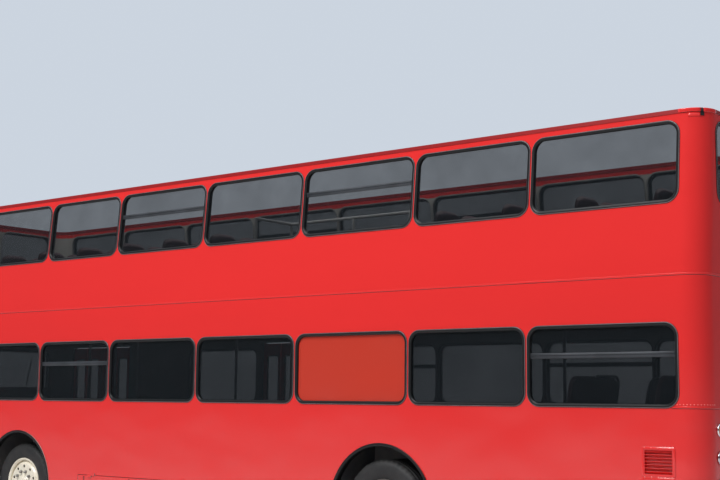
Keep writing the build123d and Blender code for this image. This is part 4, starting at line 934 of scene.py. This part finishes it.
# grab bar: places across the door and heights of its bends
grab_bends = [
    (-1.2052, 0.96), (-1.190, 0.96), (-1.181, 0.97), (-1.181, 1.44), (-1.190, 1.45), (-1.2052, 1.45),
]
grab_steel = grained(
    "grab_rail_steel", (0.55, 0.55, 0.56), 0.28, 60, 0.12, 0.05, (0.42, 0.42, 0.43), Metallic=0.9
)
for door, door_x in door_places:
    for half, jamb, way in (("rear", door_x, 1), ("fore", door_x + door_width, -1)):
        post = jamb + way * post_in
        fold = post + way * leaf_arm
        tip = fold + way * leaf_arm
        for leaf, round_x, flat_x in (("post", post, fold - way * 0.006), ("tip", tip, fold + way * 0.006)):
            middle, wide = (round_x + flat_x) / 2, abs(round_x - flat_x) - 0.090
            name = f"door_{door}_{half}_{leaf}"
            body = f"{name}_leaf"
            pane_at = (middle, leaf_mid, leaf_pane_z)
            pane = slab(pane_at, ALONG, UP, wide - 0.001, 1.499, 0.006, 0.0395, 0.001)
            piece(f"{name}_pane", [pane], pane_glass, body)
            path, out = upright_ring((middle, leaf_street, leaf_pane_z), wide, 1.5, 0.04)
            ring = carried(path, out, (0, -1, 0), leaf_ring)
            nose_x = round_x + way * (0.0135 if leaf == "tip" else -0.0135)
            nose = slab((nose_x, leaf_mid, 1.3), ALONG, UP, 0.004, 1.80, 0.020, 0.0018, 0.0015)
            piece(f"{name}_rubber", [ring, nose], window_rubber, body)
            if leaf == "tip":
                bar = pipe([(round_x - way * 0.022, y, z) for y, z in grab_bends], 0.007)
                piece(f"{name}_grab_bar", [bar], grab_steel, body)

# Floors are plywood under ribbed vinyl, the platform and wheel boxes the same; the step wells and
# stairs have aluminium tread plate, with yellow edges screwed on.
vinyl, shader, tree, place = textured("ribbed_vinyl", (0.11, 0.11, 0.12), 0.6)
scuff = noise(tree, place, 2.6, 6.0, 0.65)
dots = ranged(tree, noise(tree, place, 160.0, 2.0), 0.56, 0.64)
flecked = blended(tree, dots, (0.10, 0.10, 0.11), (0.26, 0.26, 0.27))
trodden = ranged(tree, scuff, 0.4, 0.7, 0.0, 0.45)
feed(
    shader,
    Base_Color=blended(tree, trodden, flecked, (0.19, 0.17, 0.15)),
    Roughness=ranged(tree, scuff, 0.3, 0.7, 0.45, 0.75),
    Normal=lifted(tree, bands(tree, place, "Y", 22.0), 0.002, 0.5),
)
finish_nodes(vinyl, "lower_floor", "rear_platform", "upper_floor")
box_vinyl = grained("wheel_box_vinyl", (0.10, 0.10, 0.11), 0.62, 70, 0.12, 0.2, (0.16, 0.15, 0.14))
finish_nodes(box_vinyl, "wheel_housings")
tread_plate, shader, tree, place = textured("aluminium_tread", (0.42, 0.43, 0.44), 0.4, Metallic=0.75)
studs = wire(tree, "ShaderNodeTexVoronoi", Vector=place, Scale=42.0, Randomness=0.15).outputs["Distance"]
dirt = noise(tree, place, 6.0, 6.0)
feed(
    shader,
    Base_Color=blended(tree, ranged(tree, dirt, 0.4, 0.7), (0.46, 0.47, 0.48), (0.20, 0.19, 0.17)),
    Roughness=ranged(tree, dirt, 0.35, 0.7, 0.3, 0.65),
    Normal=lifted(tree, ranged(tree, studs, 0.42, 0.2), 0.003, 0.7),
)
finish_nodes(tread_plate, "stairs", "step_wells")
yellow_edge = grained("step_edge_yellow", (0.75, 0.52, 0.05), 0.5, 70, 0.12, 0.2, (0.42, 0.30, 0.06))
stair_run, stair_rises, deck_height = 0.23, 8, upper_floor_z - lower_floor_z
nosings = []
for k in range(stair_rises - 1):
    x = stair_foot - stair_run * k
    z = lower_floor_z + (k + 1) * deck_height / stair_rises
    nosings.append(slab((x + 0.0005, 0.8625, z - 0.0135), ASIDE, UP, 0.552, 0.030, 0.004, 0.0015, 0.001))
for door, door_x in door_places:
    edge_at = (door_x + door_width / 2, -1.1825, 0.3765)
    nosings.append(slab(edge_at, ALONG, ASIDE, 1.19, 0.030, 0.002, 0.001, 0.0006))
piece("step_edges", nosings, yellow_edge)

# Chassis: welded channel under black paint with road dirt. The axles and knuckles are forged
# steel, and the engine block is cast iron, bolted into the frame.
frame_black = grained("chassis_black", (0.022, 0.021, 0.02), 0.6, 26, 0.18, 0.3, (0.075, 0.06, 0.048))
finish_nodes(frame_black, "chassis_frame", "underfloor_boxes")
forged = grained(
    "forged_axle", (0.04, 0.036, 0.034), 0.62, 45, 0.16, 0.45, (0.10, 0.075, 0.055), Metallic=0.35
)
finish_nodes(forged, "front_axle", "rear_axle", "knuckle_left", "knuckle_right")
engine_iron = grained(
    "engine_iron", (0.16, 0.17, 0.17), 0.55, 55, 0.15, 0.45, (0.07, 0.06, 0.05), Metallic=0.4
)
finish_nodes(engine_iron, "engine_block")

# Cab: padded vinyl over the dash, a grained partition, and a thin-rimmed wheel on a column.
# Four flat spokes join the wheel's rim to its hub, and three blank dials are set in the dash.
dash_vinyl = grained("dash_vinyl", (0.035, 0.035, 0.038), 0.58, 180, 0.08, 0.5, (0.055, 0.053, 0.05))
finish_nodes(dash_vinyl, "dashboard")
laminate = grained("partition_laminate", (0.20, 0.19, 0.175), 0.42, 140, 0.08, 0.15, (0.15, 0.14, 0.13))
finish_nodes(laminate, "cab_partition")
tilt_wheel = math.radians(25)
wheel_axis = np.array((-math.sin(tilt_wheel), 0, math.cos(tilt_wheel)))
wheel_middle = np.array((4.700, 0.700, 1.400)) + 0.040 * wheel_axis
angle = np.arange(16) * math.pi / 8
rim_ring = np.column_stack([0.0138 * np.sin(angle), 0.225 + 0.0138 * np.cos(angle)])


def finger_grips(angle, along, radius):
    """Grips under the rim: 36 shallow waves a turn on its inner side."""
    return radius - 0.0012 * (1 + np.cos(36 * angle)) * (radius < 0.222)


wheel_parts = [turned(wheel_middle, wheel_axis, rim_ring, 144, finger_grips)]
hub = [
    (-0.0390, 0.0), (-0.0390, 0.034), (-0.012, 0.035), (0.004, 0.050), (0.010, 0.046), (0.013, 0.030),
    (0.0135, 0.0),
]
wheel_parts.append(turned(wheel_middle, wheel_axis, hub, 40))
wheel_fore = np.array((math.cos(tilt_wheel), 0, math.sin(tilt_wheel)))
for spoke in range(4):
    a = spoke * math.pi / 2
    ray = math.cos(a) * wheel_fore + math.sin(a) * np.array((0, 1.0, 0))
    across = np.cross(wheel_axis, ray)
    wheel_parts.append(slab(wheel_middle + ray * 0.131, ray, across, 0.176, 0.026, 0.006, 0.006, 0.002))
hand_wheel = piece("hand_wheel_rim", wheel_parts, dash_vinyl, "hand_wheel")
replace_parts(hand_wheel, "steering_wheel")
dial_face = grained("dial_face", (0.012, 0.012, 0.013), 0.25, 60, 0.05, 0.02, Coat_Weight=0.8)
dials = []
for dy in (-0.12, 0.0, 0.12):
    dial_at = (5.075, 0.700 + dy, 1.3145)
    dials.append(slab(dial_at, (0.882, 0, 0.471), ASIDE, 0.10, 0.10, 0.004, 0.049, 0.001))
piece("dials", dials, dial_face)

# Handrails are steel tube with a pale plastic coat: poles on the lower deck, and a guard round the
# stairwell above. Bumpers are moulded rubber over a steel bar, and a blank plate of white sheet is
# screwed on at the front and at the rear.
rail_coat = grained(
    "handrail_coat", (0.58, 0.58, 0.56), 0.38, 60, 0.08, 0.08, (0.44, 0.43, 0.41), Coat_Weight=0.3
)
finish_nodes(rail_coat, "handrails")
bumper_rubber = grained("bumper_rubber", (0.028, 0.028, 0.029), 0.55, 70, 0.14, 0.3, (0.075, 0.068, 0.06))
finish_nodes(bumper_rubber, "bumpers")
plate_white = grained("blank_plate", (0.70, 0.70, 0.68), 0.35, 60, 0.06, 0.05, (0.60, 0.59, 0.56))
plates = []
for x, z, high in ((body_front_x + 0.0425, 0.46, 0.115), (body_rear_x - 0.0425 + 0.040, 1.395, 0.100)):
    plates.append(slab((x, 0.0, z), ASIDE, UP, 0.52, high, 0.004, 0.008, 0.001))
piece("blank_plates", plates, plate_white)

# Mirrors: black moulded housings, with the glass facing back, on tube arms whose feet are bolted to
# the front wall. Wipers: a pressed arm on a spindle below each half of the screen, and its blade.
housing = grained("mirror_housing", (0.02, 0.02, 0.021), 0.45, 120, 0.1, 0.25)
finish_nodes(housing, "mirrors")
mirror_glass = grained(
    "mirror_glass", (0.80, 0.81, 0.82), 0.04, 30, 0.02, 0.0, (0.75, 0.76, 0.77), Metallic=1.0
)
panes = []
for side in (1, -1):
    panes.append(slab((5.6885, side * 1.290, 1.890), ASIDE, UP, 0.172, 0.352, 0.003, 0.035, 0.0008))
piece("mirror_panes", panes, mirror_glass)
wiper_black = grained("wiper_black", (0.018, 0.018, 0.018), 0.45, 70, 0.1, 0.15)
spindle_cap = [(0, 0), (0, 0.022), (0.016, 0.018), (0.020, 0.0)]
wiper_parts = []
for side in (1, -1):
    foot = np.array((body_front_x + 0.004, side * 0.20, 1.005))
    top = np.array((body_front_x + 0.018, side * 0.62, 1.62))
    elbow = foot * 0.6 + top * 0.4 + (0.004, 0, 0)
    run = np.array((0, 0.08 * side, 0.40))
    wiper_parts.append(turned(foot - (0.004, 0, 0), ALONG, spindle_cap, 20))
    wiper_parts.append(pipe([foot + (0.010, 0, 0), elbow, top], 0.0055, 8))
    blade = [top - run - (0.010, 0, 0), top - (0.008, 0, 0), top + run - (0.014, 0, 0)]
    wiper_parts.append(pipe(blade, 0.007, 8))
piece("wipers", wiper_parts, wiper_black)

# A blank black blind hangs behind the pane over the windscreen. The engine lid has pressed air
# slots and a turn handle, and the service flap has three turn locks, and dark strips of painted
# shade where grooves run between its sheets.
blind_black = grained("blank_blind", (0.010, 0.010, 0.011), 0.55, 40, 0.05, 0.05)
display_z = (display_sill + display_head) / 2
display_at = (float(front_x(display_z)) - 0.075, 0.0, display_z)
piece("route_display", [slab(display_at, ASIDE, UP, 1.53, 0.225, 0.012, 0.03, 0.002)], blind_black)
slot_half, slot_rise, slot_pitch = 0.30, 0.011, 0.058
along = np.linspace(-slot_half, slot_half, 13)
rise = slot_rise * np.clip(1 - (np.abs(along) / slot_half) ** 8, 0, 1)
arc = np.linspace(0, math.pi, 9)
slots = []
for bank in (-0.40, 0.40):
    for row in range(9):
        x = body_rear_x - rise[:, None] * np.sin(arc)[None, :]
        y = bank + along[:, None] + 0 * arc[None, :]
        z = 0.62 + row * slot_pitch + 0.018 * np.cos(arc)[None, :] + 0 * rise[:, None]
        slots.append(thickened(np.stack([x, y, z], -1), (0.002, 0, 0)))
piece("lid_air_slots", slots, body_paint, "rear_lid")
handle_z = 0.540
handle_cap = [(0, 0), (0, 0.030), (0.006, 0.029), (0.008, 0.022), (0.008, 0)]
lid_handle = [
    turned((body_rear_x, 0.0, handle_z), (-1, 0, 0), handle_cap, 32),
    slab((body_rear_x - 0.011, 0.0, handle_z), ASIDE, UP, 0.075, 0.014, 0.008, 0.006, 0.002),
]
piece("lid_handle", lid_handle, grab_steel, "rear_lid")
lock_cap = [(0, 0), (0, 0.016), (0.004, 0.0155), (0.005, 0.010), (0.005, 0)]
flap_locks = [turned((x, half_width, 0.385), ASIDE, lock_cap, 24) for x in (0.25, 1.01, 1.77)]
piece("flap_locks", flap_locks, grab_steel, "side_flap")
# dark strips of painted shade where the grooves between the flap's sheets run
flap_groove_shades = []
for x in (1.105, 1.886):
    groove_at = (x, half_width + 0.0002, 0.490)
    flap_groove_shades.append(slab(groove_at, ALONG, UP, 0.016, 0.262, 0.0024, 0.002, 0.0006))
piece("flap_groove_shades", flap_groove_shades, seam_painted_shade, "side_flap")

# Lamps along the lower ceiling: long diffusers of milky plastic clipped into shallow trays, on both
# sides of the aisle, with none over the stairs.
diffuser = grained("lamp_diffuser", (0.62, 0.62, 0.58), 0.35, 160, 0.05, 0.1, (0.55, 0.55, 0.50))
ceiling_lamps = []
for side in (1, -1):
    for k in range(7):
        x = -4.6 + k * 1.45
        if side > 0 and -2.6 < x < -0.4:
            continue
        lamp_at = (x, side * 0.52, 2.4485)
        ceiling_lamps.append(slab(lamp_at, ALONG, ASIDE, 1.16, 0.13, 0.022, 0.02, 0.006))
piece("ceiling_lamps", ceiling_lamps, diffuser)


# Where the roof was cut off, each rear corner of the top rail has a pressed cover with a step down
# over the wall, a rubber filler in the joint, and a cover on the rear side of it.
def corner_run(z, side, first, last, out_by=0.0, ahead=0.0):
    """Points round a rear corner at height z between two angles, counted in degrees from the
    side's outward direction, with a straight stretch ahead of them."""
    turn = np.radians(np.linspace(first, last, 9))
    out = np.stack([-np.sin(turn), side * np.cos(turn), 0 * turn], -1)
    middle = np.array((body_rear_x + rear_corner, side * (half_width - float(lean(z)) - rear_corner), z))
    path = middle + out * (rear_corner + out_by)
    if ahead:
        path = np.concatenate([path[:1] + (ahead, 0, 0), path])
        out = np.concatenate([out[:1], out])
    return path, out, UP


rail_cap = [
    (-0.008, 0.002), (0.0035, 0.002), (0.0045, 0.005), (0.0045, 0.031), (0.0030, 0.0345), (-0.008, 0.0345),
]
wall_step = [(-0.004, -0.021), (0.0048, -0.021), (0.0056, -0.018), (0.0018, 0.021), (-0.004, 0.021)]
filler = [(-0.004, -0.030), (0.0030, -0.030), (-0.0004, 0.030), (-0.004, 0.030)]
cap_z, step_z, joint_z = 3.906, 3.888, 3.905
covers, fillers = [], []
for side in (1, -1):
    covers.append(carried(*corner_run(cap_z, side, 0, 44, 0.006, 0.03), rail_cap, closed=False))
    covers.append(carried(*corner_run(cap_z, side, 51, 90, 0.006), rail_cap, closed=False))
    covers.append(carried(*corner_run(step_z, side, 15, 44), wall_step, closed=False))
    fillers.append(carried(*corner_run(joint_z, side, 43, 52, 0.006), filler, closed=False))
piece("rail_covers", covers, body_paint)
piece("rail_joint_fillers", fillers, window_rubber)
